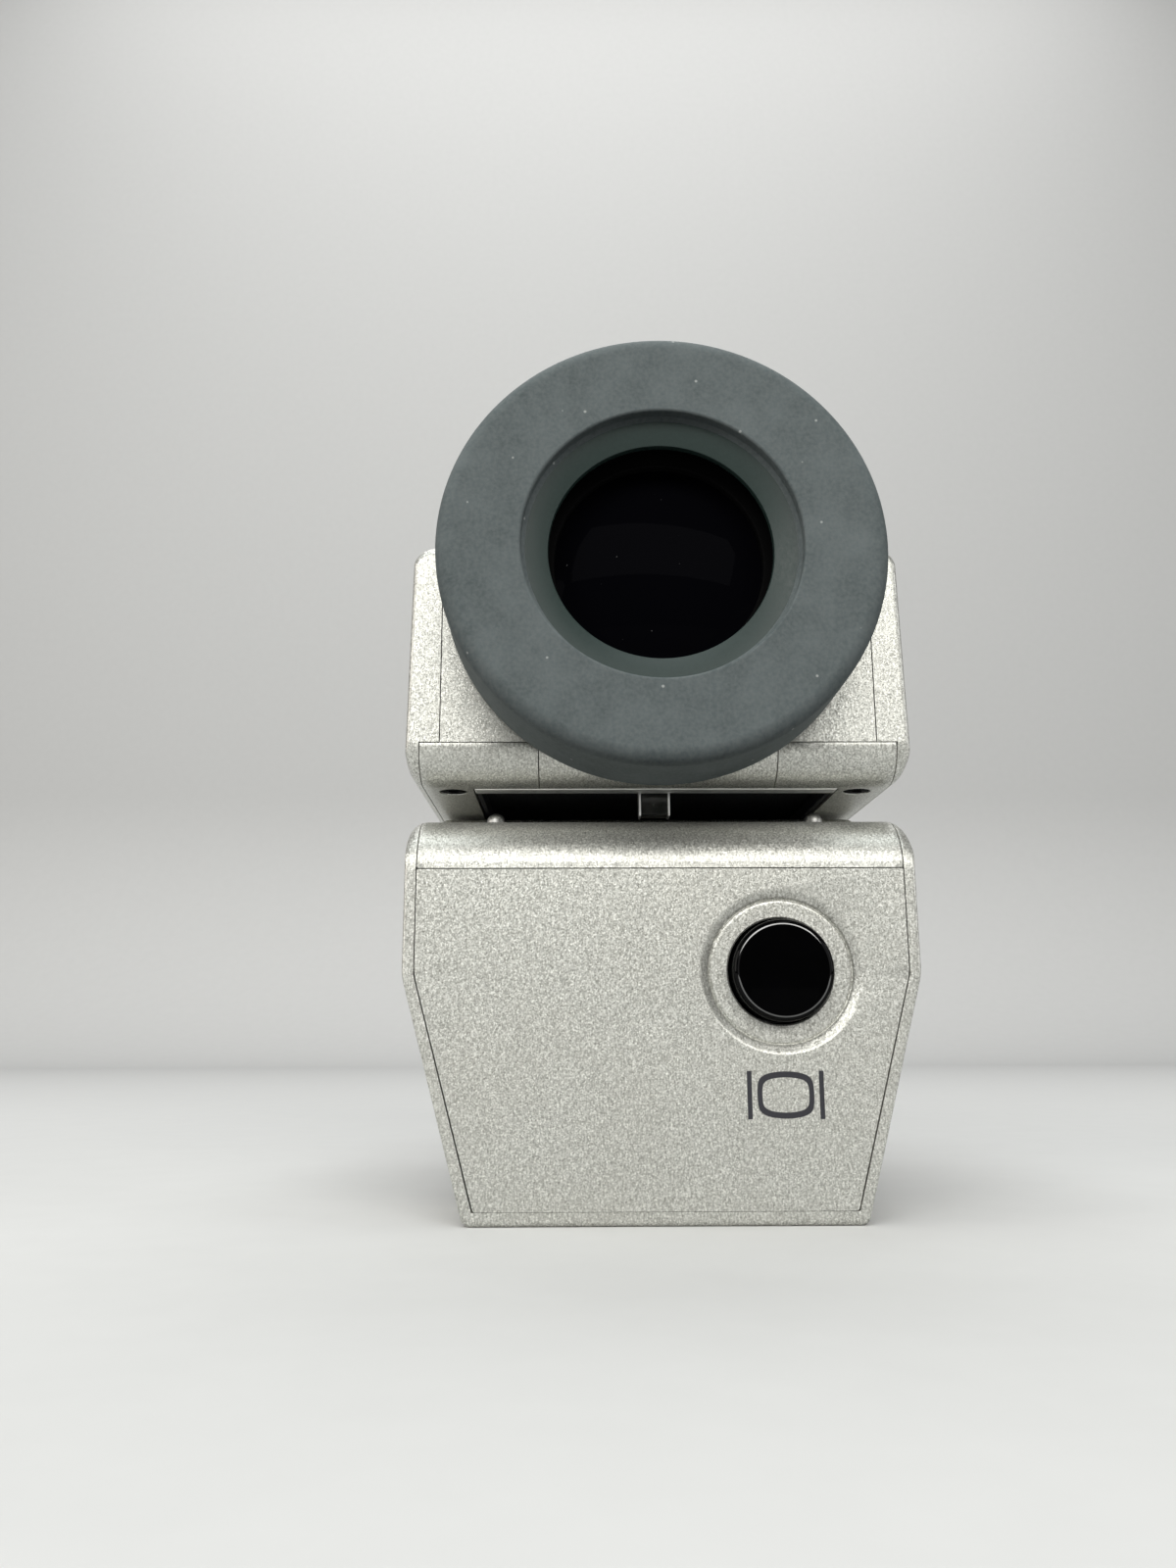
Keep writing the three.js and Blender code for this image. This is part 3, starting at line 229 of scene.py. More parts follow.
def punch(bm, x, y, radius, sides, reach, test):
    # a round hole through the faces round (x, y) that pass the test, cut by one plane per side
    split(bm, x=(x - reach, x + reach), y=(y - reach, y + reach))

    def near(face):
        middle = face.calc_center_median()
        return abs(middle.x - x) < reach and abs(middle.y - y) < reach and test(middle)

    def inside(face):
        return (face.calc_center_median().xy - Vector((x, y))).length < radius

    for i in range(sides):
        angle = fullTurn * (i + 0.5) / sides
        out = Vector((math.cos(angle), math.sin(angle), 0))
        patch = [face for face in bm.faces if near(face)]
        geom = patch + list({e for f in patch for e in f.edges}) + list({v for f in patch for v in f.verts})
        cutThrough(bm, geom, Vector((x, y, 0)) + out * radius, out)
    removeFaces(bm, lambda face: near(face) and inside(face))


def smoothMesh(name, bm, finish):
    mesh = bpy.data.meshes.new(name)
    bm.to_mesh(mesh)
    bm.free()
    mesh.polygons.foreach_set("use_smooth", [True] * len(mesh.polygons))
    mesh.materials.append(finish)
    return mesh


def setAll(thing, **settings):
    for key, value in settings.items():
        setattr(thing, key, value)
    return thing


def placed(name, data):
    obj = bpy.data.objects.new(name, data)
    bpy.context.scene.collection.objects.link(obj)
    return obj


def addPiece(name, bm, finish, body, slot, *stands, wall=0, edge=0, bend=32, even=True, flat=None):
    # stands names the nodes it stands for, and flat is a Y whose face keeps sharp rims
    bmesh.ops.remove_doubles(bm, verts=bm.verts[:], dist=mergeDistance)
    bmesh.ops.scale(bm, vec=(mm, mm, mm), verts=bm.verts[:])
    mesh = smoothMesh(name, bm, finish)
    mesh.set_sharp_from_angle(angle=math.radians(bend))
    if flat is not None:
        for line in mesh.edges:
            if max(mesh.vertices[i].co.y for i in line.vertices) < (flat + 0.001) * mm:
                line.use_edge_sharp = True
    piece = placed(name, mesh)
    if wall:
        thick = piece.modifiers.new("wall", "SOLIDIFY")
        setAll(thick, thickness=wall * mm, offset=-1, use_even_offset=even)
    if edge:
        rim = piece.modifiers.new("rim", "BEVEL")
        setAll(rim, width=edge * mm, segments=2, limit_method="ANGLE", angle_limit=math.radians(bend))
        rim.use_clamp_overlap = True
    piece.modifiers.new("shade", "WEIGHTED_NORMAL").keep_sharp = True
    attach(piece, body)
    if stands:
        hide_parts(*stands)


def roundSteps(radius, count):
    return [radius * (1 - math.cos(quarterTurn * i / count)) for i in range(count + 1)]


def stepsFrom(start, way, form, **counts):
    # places along Y, close together where the named edges of the form are rounded
    steps = [d for name, count in counts.items() for d in roundSteps(form[name], count)]
    return {round(start + way * d, 3) for d in steps}


def inset(distance, radius):
    # how far a rounded edge has drawn in at this distance from its end face
    if distance >= radius:
        return 0.0
    return radius - math.sqrt(max(radius**2 - (radius - distance) ** 2, 0))


def ramp(value, *stops):
    # straight lines through (place, height) stops
    for (a, low), (b, high) in zip(stops, stops[1:]):
        if value <= b:
            share = min(max((value - a) / (b - a), 0), 1)
            return low + (high - low) * share
    return stops[-1][1]


def squeezed(value, pivot, end, newEnd):
    # moves end to newEnd and leaves pivot where it is
    return pivot + (value - pivot) * (newEnd - pivot) / (end - pivot)


def drawn(points, stations, place):
    # an outline drawn out along Y through the stations, each point put in place by place(x, station, z)
    bm = rounded(points)
    bmesh.ops.spin(
        bm, geom=bm.verts[:] + bm.edges[:], cent=(0, 0, 0), axis=(0, 1, 0), dvec=(0, 1, 0), angle=0,
        steps=len(stations) - 1, use_merge=False, use_duplicate=False,
    )
    for vert in bm.verts:
        vert.co = place(vert.co.x, stations[round(vert.co.y)], vert.co.z)
    return bm


# Materials

class Value:
    def __init__(self, paint, socket):
        self.paint = paint
        self.socket = socket

    def maths(self, operation, other):
        return self.paint.node("ShaderNodeMath", {"operation": operation}, {0: self, 1: other})

    def __add__(self, other):
        return self.maths("ADD", other)

    def __mul__(self, other):
        return self.maths("MULTIPLY", other)

    def __pow__(self, other):
        return self.maths("POWER", other)


class Paint:
    def __init__(self, name, **constants):
        self.material = bpy.data.materials.new(name)
        self.material.use_nodes = True
        self.tree = self.material.node_tree
        self.shader = self.tree.nodes["Principled BSDF"]
        self.place = self.node("ShaderNodeTexCoord", {}, {}, "Object")
        for socket, value in constants.items():
            self.set(socket.replace("_", " "), value)

    def connect(self, value, socket):
        if isinstance(value, Value):
            self.tree.links.new(value.socket, socket)
        else:
            socket.default_value = value

    def node(self, kind, settings, inputs, output=0):
        made = setAll(self.tree.nodes.new(kind), **settings)
        for key, value in inputs.items():
            self.connect(value, made.inputs[key])
        return Value(self, made.outputs[output])

    def set(self, socket, value):
        self.connect(value, self.shader.inputs[socket])

    def noise(self, size, detail=2, rough=0.5, stretch=None, turn=(0, 0, 0)):
        # size is the grain in millimetres
        where = self.place
        if stretch:
            where = self.node("ShaderNodeMapping", {}, {"Vector": where, "Rotation": turn, "Scale": stretch})
        inputs = {"Vector": where, "Scale": 1 / (size * mm), "Detail": detail, "Roughness": rough}
        return self.node("ShaderNodeTexNoise", {}, inputs)

    def cells(self, size, output="Distance"):
        inputs = {"Vector": self.place, "Scale": 1 / (size * mm)}
        return self.node("ShaderNodeTexVoronoi", {}, inputs, output)

    def vectors(self, operation, inputs, output=0):
        return self.node("ShaderNodeVectorMath", {"operation": operation}, inputs, output)

    def spread(self, value, low, high, newLow=0.0, newHigh=1.0):
        inputs = {0: value, 1: low, 2: high, 3: newLow, 4: newHigh}
        return self.node("ShaderNodeMapRange", {"clamp": True}, inputs)

    def mix(self, factor, a, b):
        a, b = ((*color, 1) if isinstance(color, tuple) else color for color in (a, b))
        return self.node("ShaderNodeMix", {"data_type": "RGBA"}, {0: factor, 6: a, 7: b}, 2)

    def bump(self, height, strength, depth, **others):
        inputs = {"Height": height, "Strength": strength, "Distance": depth * mm, **others}
        self.set("Normal", self.node("ShaderNodeBump", {}, inputs))


def silverPaint():
    # each flake has its own tone, shine and tilt
    paint = Paint("silverPaint", Metallic=0.65, IOR=1.5)
    flakes = paint.cells(0.075, "Color")
    spark = paint.node("ShaderNodeSeparateColor", {}, {"Color": flakes}, 0)
    grain = paint.noise(0.1, 2, 0.6)
    streaks = paint.noise(0.1, 2, 0.5, (1, 1, 0.3), (0, math.radians(28), 0))
    cloud = paint.noise(7, 3, 0.5)
    tone = paint.spread(grain, 0.35, 0.65) * 0.4 + paint.spread(streaks, 0.38, 0.62) * 0.3 + spark ** 2 * 0.45
    base = paint.mix(tone, (0.28, 0.28, 0.25), (0.94, 0.945, 0.89))
    worn = paint.mix(paint.spread(cloud, 0.35, 0.7, 0, 0.15), base, (0.52, 0.5, 0.44))
    paint.set("Base Color", worn)
    paint.set("Roughness", paint.spread(spark, 0, 1, 0.32, 0.45))
    tilt = paint.vectors("SUBTRACT", {0: flakes, 1: (0.5, 0.5, 0.5)})
    tilt = paint.vectors("SCALE", {0: tilt, "Scale": 0.15})
    facing = paint.node("ShaderNodeNewGeometry", {}, {}, "Normal")
    facet = paint.vectors("NORMALIZE", {0: paint.vectors("ADD", {0: facing, 1: tilt})})
    paint.bump(grain, 0.3, 0.02, Normal=facet)
    return paint.material


def eyecupRubber():
    paint = Paint("eyecupRubber", IOR=1.45, Specular_IOR_Level=0.2)
    cloud = paint.spread(paint.noise(2.6, 5, 0.65), 0.3, 0.7)
    fine = paint.noise(0.22, 3, 0.6)
    dust = paint.spread(paint.cells(1.6), 0.035, 0.06, 1, 0)
    base = paint.mix(cloud, (0.085, 0.105, 0.107), (0.145, 0.17, 0.173))
    base = paint.mix(paint.spread(fine, 0.35, 0.65, 0, 0.4), base, (0.19, 0.21, 0.21))
    paint.set("Base Color", paint.mix(dust * 0.6, base, (0.6, 0.62, 0.6)))
    paint.set("Roughness", paint.spread(cloud, 0, 1, 0.62, 0.75))
    paint.bump(fine + cloud * 0.5, 0.3, 0.02)
    return paint.material


buttonX, buttonZ = 6.5, -0.2  # middle of the button, its dish and its hole


def glossButton():
    # the lacquer on the rounded rim is glossier than the flat top
    paint = Paint("glossButton", IOR=1.5, Coat_Roughness=0.04, Coat_IOR=2.2, Specular_IOR_Level=0.01)
    smear = paint.noise(1.4, 3, 0.5)
    away = paint.vectors("SUBTRACT", {0: paint.place, 1: (buttonX * mm, 0, buttonZ * mm)})
    radius = paint.vectors("LENGTH", {0: paint.vectors("MULTIPLY", {0: away, 1: (1, 0, 1)})}, "Value")
    rise = paint.spread(radius, 2.43 * mm, 2.455 * mm)
    paint.set("Coat Weight", rise * paint.spread(radius, 2.505 * mm, 2.53 * mm, 1, 0.05))
    paint.set("Base Color", paint.mix(smear, (0.001, 0.001, 0.001), (0.002, 0.002, 0.0024)))
    paint.set("Roughness", paint.spread(smear, 0.4, 0.8, 0.05, 0.1))
    return paint.material


def lensGlass():
    paint = Paint("lensGlass", IOR=1.52, Specular_IOR_Level=0.003)
    dust = paint.spread(paint.cells(0.9), 0.025, 0.045, 1, 0)
    paint.set("Base Color", paint.mix(dust * 0.25, (0.002, 0.002, 0.003), (0.5, 0.5, 0.5)))
    paint.set("Roughness", paint.spread(dust, 0, 1, 0.03, 0.5))
    return paint.material


def platedSteel(name, low, high, rough, stretch):
    paint = Paint(name, Metallic=1.0)
    lines = paint.noise(0.1, 3, 0.6, stretch)
    cloud = paint.noise(1.8, 3, 0.5)
    paint.set("Base Color", paint.mix(paint.spread(cloud, 0.3, 0.7), low, high))
    paint.set("Roughness", paint.spread(lines, 0.3, 0.7, rough, rough + 0.14))
    paint.bump(lines, 0.15, 0.01)
    return paint.material


def flexFilm():
    paint = Paint("flexFilm", IOR=1.5)
    tracks = paint.node("ShaderNodeTexWave", {"bands_direction": "X"}, {"Vector": paint.place, "Scale": 320})
    paint.set("Base Color", paint.mix(tracks, (0.35, 0.15, 0.03), (0.55, 0.28, 0.06)))
    paint.set("Roughness", paint.spread(tracks, 0, 1, 0.3, 0.42))
    return paint.material


def circuitBoard():
    paint = Paint("circuitBoard", IOR=1.5)
    tracks = paint.node("ShaderNodeTexBrick", {}, {"Vector": paint.place, "Scale": 700}, 1)
    paint.set("Base Color", paint.mix(tracks, (0.02, 0.12, 0.06), (0.05, 0.22, 0.11)))
    paint.set("Roughness", paint.spread(paint.noise(0.4), 0.3, 0.7, 0.35, 0.5))
    return paint.material


# Plain finishes, where one grain of (size, detail, rough) varies the colour and the roughness

plainFinishes = {
    "coneBlack": {
        "grain": (0.18, 3, 0.6), "low": (0.013, 0.028, 0.024), "high": (0.024, 0.044, 0.039),
        "rough": (0.36, 0.5), "bump": (0.2, 0.01),
    },
    "baffleBlack": {
        "grain": (0.2, 2, 0.6), "low": (0.0015, 0.0015, 0.0016), "high": (0.004, 0.004, 0.0042),
        "rough": (0.6, 0.8), "specular": 0.05,
    },
    "mattBlack": {
        "grain": (0.2, 3, 0.6), "low": (0.008, 0.008, 0.009), "high": (0.022, 0.022, 0.024),
        "rough": (0.5, 0.68), "bump": (0.25, 0.015),
    },
    "lampWhite": {
        "grain": (0.3, 2, 0.5), "low": (0.78, 0.78, 0.75), "high": (0.88, 0.88, 0.85),
        "rough": (0.4, 0.55), "ior": 1.5,
    },
    "printInk": {
        "grain": (0.12, 3, 0.7), "low": (0.018, 0.018, 0.024), "high": (0.045, 0.045, 0.055),
        "rough": (0.45, 0.65),
    },
    "clearCatch": {
        "grain": (0.6, 3, 0.5), "low": (0.02, 0.022, 0.02), "high": (0.06, 0.06, 0.055),
        "rough": (0.12, 0.3), "ior": 1.49,
    },
}


def plainFinish(name, grain, low, high, rough, ior=1.45, specular=0.5, bump=None):
    paint = Paint(name, IOR=ior, Specular_IOR_Level=specular)
    fine = paint.noise(*grain)
    paint.set("Base Color", paint.mix(fine, low, high))
    paint.set("Roughness", paint.spread(fine, 0.3, 0.7, *rough))
    if bump:
        paint.bump(fine, *bump)
    return paint.material


cone, baffle, black, white, ink, catch = (plainFinish(name, **spec) for name, spec in plainFinishes.items())
silver = silverPaint()
rubber = eyecupRubber()
gloss = glossButton()
glass = lensGlass()
steel = platedSteel("brightSteel", (0.6, 0.6, 0.6), (0.78, 0.78, 0.77), 0.18, (1, 1, 0.2))
darkSteel = platedSteel("darkSteel", (0.1, 0.1, 0.1), (0.2, 0.2, 0.2), 0.3, (0.2, 1, 1))
goldPlate = platedSteel("goldPlate", (0.7, 0.48, 0.14), (0.85, 0.62, 0.24), 0.2, (1, 0.2, 1))
film = flexFilm()
lipMetal = platedSteel("lipMetal", (0.8, 0.8, 0.78), (0.92, 0.92, 0.9), 0.4, (0.2, 1, 1))
stopMetal = platedSteel("stopMetal", (0.38, 0.38, 0.36), (0.52, 0.52, 0.5), 0.36, (1, 1, 0.2))
circuit = circuitBoard()
print("materials made")

# Camera, placed from the photograph

camera = {"place": (-4.70, -85.78, -3.75), "pitch": 12.170, "yaw": 0.616, "roll": -0.205, "lens": 27.045}


def addCamera(place, pitch, yaw, roll, lens):
    pitch, yaw, roll = math.radians(pitch), math.radians(yaw), math.radians(roll)
    ahead = Vector((math.sin(yaw) * math.cos(pitch), math.cos(yaw) * math.cos(pitch), math.sin(pitch)))
    right = Vector((math.cos(yaw), -math.sin(yaw), 0))
    up = right.cross(ahead)
    right, up = right * math.cos(roll) + up * math.sin(roll), up * math.cos(roll) - right * math.sin(roll)
    data = bpy.data.cameras.new("camera")
    setAll(data, lens=lens, sensor_width=36, clip_start=0.001, clip_end=20)
    turn = Matrix((right, up, -ahead)).transposed().to_4x4()
    bpy.context.scene.camera = placed("camera", data)
    bpy.context.scene.camera.matrix_world = Matrix.Translation(Vector(place) * mm) @ turn


addCamera(**camera)

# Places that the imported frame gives

shellLow, shellHigh = corners("base_shell")
coverHigh = corners("base_top_cover")[1]
bottomLow, bottomHigh = corners("head_bottom_cover")
frameHigh = corners("head_rear_frame")[1]
cupLow, cupHigh = corners("eyecup")
trayLow, trayHigh = corners("recess_tray")
rearY = shellLow.y
frontY = bottomHigh.y
axisZ = (cupLow.z + cupHigh.z) / 2
seam = 0.06  # hairline between two covers
margin = 0.1  # round the tray and the plug
half = seam / 2

# The head: one rounded form, drawn out from the rear to the front and cut along its seams

headForm = {
    "half": 14.4, "lean": 0.25, "bandRadius": 2.2, "bandCorner": 1.3, "sideRadius": 0.35, "topRadius": 1.3,
    "humpEdge": 0.8, "humpHalf": 10.2, "humpRadius": 6.2, "flare": 1.6, "frontRadius": 3.0,
    "footRadius": 1.5, "slopeStart": 27.0, "slopeRadius": 8.0, "browRadius": 2.5, "frontDrop": 1.0,
    "shoulderDrop": 7.9, "hole": 9.05, "wall": 0.5, "rim": 0.03, "frameDepth": 1.6,
}
bottomZ = bottomLow.z
humpTop = frameHigh.z
shoulderZ = humpTop - headForm["shoulderDrop"]
bandZ = bottomZ + headForm["bandRadius"]
frameHalf = frameHigh.x + half
bandHalf = bottomHigh.x + half

# The slope down to the front: a bend, a straight and the brow, all seen from the side

slopeY = rearY + headForm["slopeStart"]
slopeFoot = shoulderZ - headForm["frontDrop"]
slope = (humpTop - slopeFoot) / (frontY - slopeY)
slopeAngle = math.atan(slope)
bendRadius, browRadius = headForm["slopeRadius"], headForm["browRadius"]
bendY = slopeY - bendRadius * math.tan(slopeAngle / 2)
browY = frontY - browRadius


def headTop(y):
    if y <= bendY:
        return humpTop
    if y <= bendY + bendRadius * math.sin(slopeAngle):
        return humpTop - bendRadius + math.sqrt(bendRadius**2 - (y - bendY) ** 2)
    if y <= browY + browRadius * math.sin(slopeAngle):
        return slopeFoot + slope * (frontY - y)
    middle = slopeFoot + slope * browRadius - browRadius / math.cos(slopeAngle)
    return middle + math.sqrt(max(browRadius**2 - (y - browY) ** 2, 0))


def placeHead(x, y, z):
    form = headForm
    rear, front = y - rearY, frontY - y
    across = abs(x)
    pivot = form["half"] - form["topRadius"]
    wide = form["half"] - form["lean"] * (z - bottomZ) / (shoulderZ - bottomZ)
    if across > pivot:
        across = squeezed(across, pivot, wide, wide - inset(rear, form["sideRadius"]))
    across *= 1 - inset(front, form["frontRadius"]) / wide
    drop = inset(rear, form["humpEdge"])
    flareZ = shoulderZ + form["flare"]
    across *= 1 - drop / form["humpHalf"] * ramp(z, (shoulderZ, 0), (flareZ, 1))
    foot = max(inset(rear, form["bandRadius"]), inset(front, form["footRadius"]))
    if z < bandZ:
        z = squeezed(z, bandZ, bottomZ, bottomZ + foot)
    else:
        z -= ramp(z, (shoulderZ - form["topRadius"], 0), (shoulderZ, drop), (flareZ, 0), (humpTop, drop))
    return math.copysign(across, x), y, z


def cutSlope(bm):
    # one flat cut for each step of the bend, the slope and the brow
    spots = [bendY + bendRadius * math.sin(slopeAngle * i / 10) for i in range(11)]
    rest = quarterTurn - slopeAngle
    spots += [browY + browRadius * math.sin(slopeAngle + rest * i / 12) for i in range(13)]
    for y0, y1 in zip(spots, spots[1:]):
        ahead = Vector((0, y1 - y0, headTop(y1) - headTop(y0)))
        cut = cutThrough(bm, everything(bm), (0, y0, headTop(y0)), (0, -ahead.z, ahead.y), outer=True)
        bmesh.ops.edgeloop_fill(bm, edges=edgesOf(cut))


def headSkin():
    form = headForm
    outline = mirrored([
        (form["half"], bottomZ, form["bandCorner"], 10),
        (form["half"] - form["lean"], shoulderZ, form["topRadius"], 10),
        (form["humpHalf"], shoulderZ, form["flare"], 6),
        (form["humpHalf"], humpTop, form["humpRadius"], 14),
    ])
    stations = stepsFrom(rearY, 1, form, sideRadius=6, humpEdge=6, bandRadius=12)
    stations |= stepsFrom(frontY, -1, form, frontRadius=12, footRadius=8)
    bm = merged(drawn(outline, sorted(stations), placeHead))
    bmesh.ops.edgeloop_fill(bm, edges=boundary(bm, lambda co: co.y > frontY - onPlane))
    cutSlope(bm)
    circle(bm, form["hole"], 96, lambda across, up: (across, rearY, axisZ + up))
    rims = [e for e in bm.edges if len(e.link_faces) < 2 and all(v.co.y < rearY + onPlane for v in e.verts)]
    fillFlat(bm, rims, (0, -1, 0))
    return closedUp(bm)


skin = headSkin()
hingeY, hingeZ = 16.0, 7.4  # the hinge's axis
insert = {"half": 6.8, "length": 2.3}
recess = {"half": trayHigh.x + margin, "start": rearY + 2.42, "end": trayHigh.y + margin}
hinge = {
    "radius": 2.8, "armRadius": 2.6, "tunnel": 3.9, "tunnelRadius": 2.5, "slack": 0.3,
    "armNeck": 2.0, "middleNeck": 1.7,
}
screwHole = {"x": 11.9, "y": rearY + 3.3, "radius": 0.82, "sides": 20, "reach": 1.1}
coverSplit = corners("head_top_cover")[0].z - half
insertEnd = rearY + insert["length"]
tunnelHalf, tunnelReach = hinge["tunnel"] + hinge["slack"], hinge["tunnelRadius"] + hinge["slack"]
armEdge, armReach = corners("hinge_arm_right")[0].x - hinge["slack"], hinge["armRadius"] + hinge["slack"]


def addHeadCover(name, node, test, holes=(), **cuts):
    # the share of the head's form that passes the test, as a wall
    piece = keep(split(skin.copy(), **cuts), test)
    for x, y in holes:
        punch(piece, x, y, screwHole["radius"], screwHole["sides"], screwHole["reach"], lambda p: p.z < bandZ)
    form = headForm
    addPiece(name, piece, silver, "head", "silver", node, wall=form["wall"], edge=form["rim"], flat=rearY)


def bottomKept(p):
    x, y = abs(p.x), p.y
    if x > bandHalf - half or p.z > bandZ - half:
        return False
    if x < insert["half"] + half and y < insertEnd + half:
        return False
    if x < recess["half"] and recess["start"] < y < recess["end"] and p.z < bottomZ + margin:
        return False
    if x < tunnelHalf and abs(y - hingeY) < tunnelReach:
        return False
    return not (x > armEdge and abs(y - hingeY) < armReach)


for name, side in (("left", -1), ("right", 1)):
    addHeadCover(
        "headSide_" + name, "head_side_" + name,
        lambda p: p.x * side > bandHalf + half or (p.x * side > frameHalf + half and p.z > bandZ + half),
        x=(side * (frameHalf + half), side * (bandHalf + half)), z=(bandZ + half,),
    )

inner = frameHalf - half
frameEnd = rearY + headForm["frameDepth"]
addHeadCover(
    "headRearFrame", "head_rear_frame",
    lambda p: abs(p.x) < inner and p.y < frameEnd and p.z > bandZ + half,
    x=(-inner, inner), y=(frameEnd,), z=(bandZ + half,),
)
addHeadCover(
    "headTopCover", "head_top_cover",
    lambda p: abs(p.x) < inner and p.y > frameEnd + seam and p.z > coverSplit + half,
    x=(-inner, inner), y=(frameEnd + seam,), z=(coverSplit + half,),
)
addHeadCover(
    "headFrontCover", "head_front_cover",
    lambda p: abs(p.x) < inner and p.y > hingeY and bandZ + half < p.z < coverSplit - half,
    x=(-inner, inner), y=(hingeY,), z=(bandZ + half, coverSplit - half),
)
addHeadCover(
    "bandInsert", "head_band_insert",
    lambda p: abs(p.x) < insert["half"] - half and p.y < insertEnd - half and p.z < bandZ - half,
    x=(half - insert["half"], insert["half"] - half), y=(insertEnd - half,), z=(bandZ - half,),
)
sides = [insert["half"] + half, bandHalf - half, recess["half"], tunnelHalf, armEdge]
spots = [insertEnd + half, recess["start"], recess["end"]]
spots += [hingeY + side * reach for reach in (armReach, tunnelReach) for side in (-1, 1)]
addHeadCover(
    "headBottomCover", "head_bottom_cover", bottomKept,
    holes=[(side * screwHole["x"], screwHole["y"]) for side in (-1, 1)],
    x=[side * place for side in (-1, 1) for place in sides], y=spots, z=(bandZ - half,),
)
skin.free()
print("head covers made")

# Recess under the head: bright lip, dark tray and the small catch

lip = {"proud": 0.05, "edge": 0.1}
tray = {"wall": 0.3, "edge": 0.04}
latch = {"back": 0.05, "rise": 0.08, "edge": 0.06, "rib": 0.13, "ribEdge": 0.04}
headScrew = {"radius": 0.72, "sunk": 0.2, "height": 0.4, "shank": 0.4, "edge": 0.06}
washer = {"radius": 0.78, "bore": 0.3, "edge": 0.05, "lift": 0.03, "gap": 0.02}


def addRecess(proud, edge):
    low, high = corners("recess_lip")
    low.z = bottomZ - proud
    addPiece("recessLip", block(low, high, edge, 3), lipMetal, "head", "steel", "recess_lip")
    bm = block(trayLow, trayHigh)
    bmesh.ops.delete(bm, geom=[f for f in bm.faces if f.normal.z < -0.5], context="FACES_ONLY")
    addPiece("recessTray", bm, black, "head", "matt_black", "recess_tray", **tray)


def addLatch(back, rise, edge, rib, ribEdge):
    low, high = corners("rest_latch")
    body = block(low + Vector((rib, back, rise)), high - Vector((rib, 0, 0)), edge, 3)
    addPiece("restLatch", body, catch, "head", "steel", "rest_latch")
    ribs = [block((x, low.y, low.z), (x + rib, high.y, high.z), ribEdge) for x in (low.x, high.x - rib)]
    addPiece("latchRibs", joinedTo(*ribs), lipMetal, "head", "steel")


def addHeadScrew(side, radius, sunk, height, shank, edge):
    name = "head_screw_" + side
    low, high = corners(name)
    length = high.z - low.z
    profile = [(0, sunk), (radius, sunk, edge, 3), (radius, height), (shank, height), (shank, length)]
    screw = swung(turned(profile + [(0, length)], steps=32, closed=False), underside(name))
    addPiece("headScrew_" + side, screw, baffle, "head", "dark_steel", name)


def addScrewWasher(side, radius, bore, edge, lift, gap):
    place = underside("head_screw_" + side)
    rise = place.z + headScrew["sunk"] - bottomZ - lift - gap
    place.z = bottomZ + lift
    profile = [(bore, 0), (radius, 0, edge, 2), (radius, rise), (bore, rise)]
    ring = swung(turned(profile, steps=32), place)
    addPiece("screwWasher_" + side, ring, baffle, "head", "dark_steel")


addRecess(**lip)
addLatch(**latch)
for side in ("left", "right"):
    addHeadScrew(side, **headScrew)
    addScrewWasher(side, **washer)
print("recess made")

# Eyepiece: rubber ring, dial with its cone, barrel, cell and eye lens, turned round the optical axis

eyecup = {
    "radius": cupHigh.x, "front": cupLow.y, "back": cupHigh.y, "edge": 0.85, "backEdge": 0.12,
    "skirtEdge": 0.08, "hole": 7.65, "rim": 0.16, "wall": 1.2, "bore": 7.45, "chamfer": 0.25,
}
dial = {
    "gap": 0.1, "skirt": 8.75, "bore": 8.25, "boreDepth": 1.3, "rim": 0.05, "opening": 6.2, "lipDepth": 0.8,
    "coneDepth": 0.4, "coneEdge": 0.06,
}
barrel = {"bore": 7.5, "radius": 8.0, "edge": 0.08, "flange": 9.0, "flangeStart": 3.95, "flangeDepth": 1.0}
cell = {"opening": 5.9, "radius": 7.25, "bore": 6.35, "lip": 0.5, "openingEdge": 0.1, "edge": 0.08}
eyeLens = {"dome": 5.55, "radius": 6.2, "front": 0.85, "back": 0.9, "steps": 12}
dialLow, dialHigh = corners("dioptre_dial")


def addRound(name, profile, steps, *rest, closed=True, **others):
    addPiece(name, turned(profile, 0, axisZ, steps, closed), *rest, **others)


def addEyecup(radius, front, back, edge, backEdge, skirtEdge, hole, rim, wall, bore, chamfer):
    inner, dialY = radius - wall, dialLow.y
    addRound("eyecupRing", [
        (hole, front, rim, 5), (radius, front, edge, 12), (radius, back, backEdge, 3),
        (inner, back, skirtEdge, 2), (inner, dialY), (bore, dialY), (hole, dialY - chamfer),
    ], 160, rubber, "dial", "rubber", "eyecup")


def addDial(gap, skirt, bore, boreDepth, rim, opening, lipDepth, coneDepth, coneEdge):
    outer = eyecup["radius"] - eyecup["wall"] - gap
    front, back = dialLow.y, dialHigh.y
    addRound("dioptreCone", [
        (eyecup["bore"], front, rim, 2), (outer, front), (outer, cupHigh.y), (skirt, cupHigh.y),
        (skirt, back), (bore, back), (bore, front + boreDepth), (opening, front + lipDepth),
        (opening, front + coneDepth, coneEdge, 3),
    ], 128, cone, "dial", "cone", "dioptre_dial")


def addBarrel(bore, radius, edge, flange, flangeStart, flangeDepth):
    low, high = corners("eyepiece_barrel")
    start = rearY + flangeStart
    end = start + flangeDepth
    addRound("eyepieceTube", [
        (bore, low.y, edge, 2), (radius, low.y, edge, 2), (radius, start), (flange, start), (flange, end),
        (radius, end), (radius, high.y), (bore, high.y),
    ], 96, black, "head", "matt_black", "eyepiece_barrel")


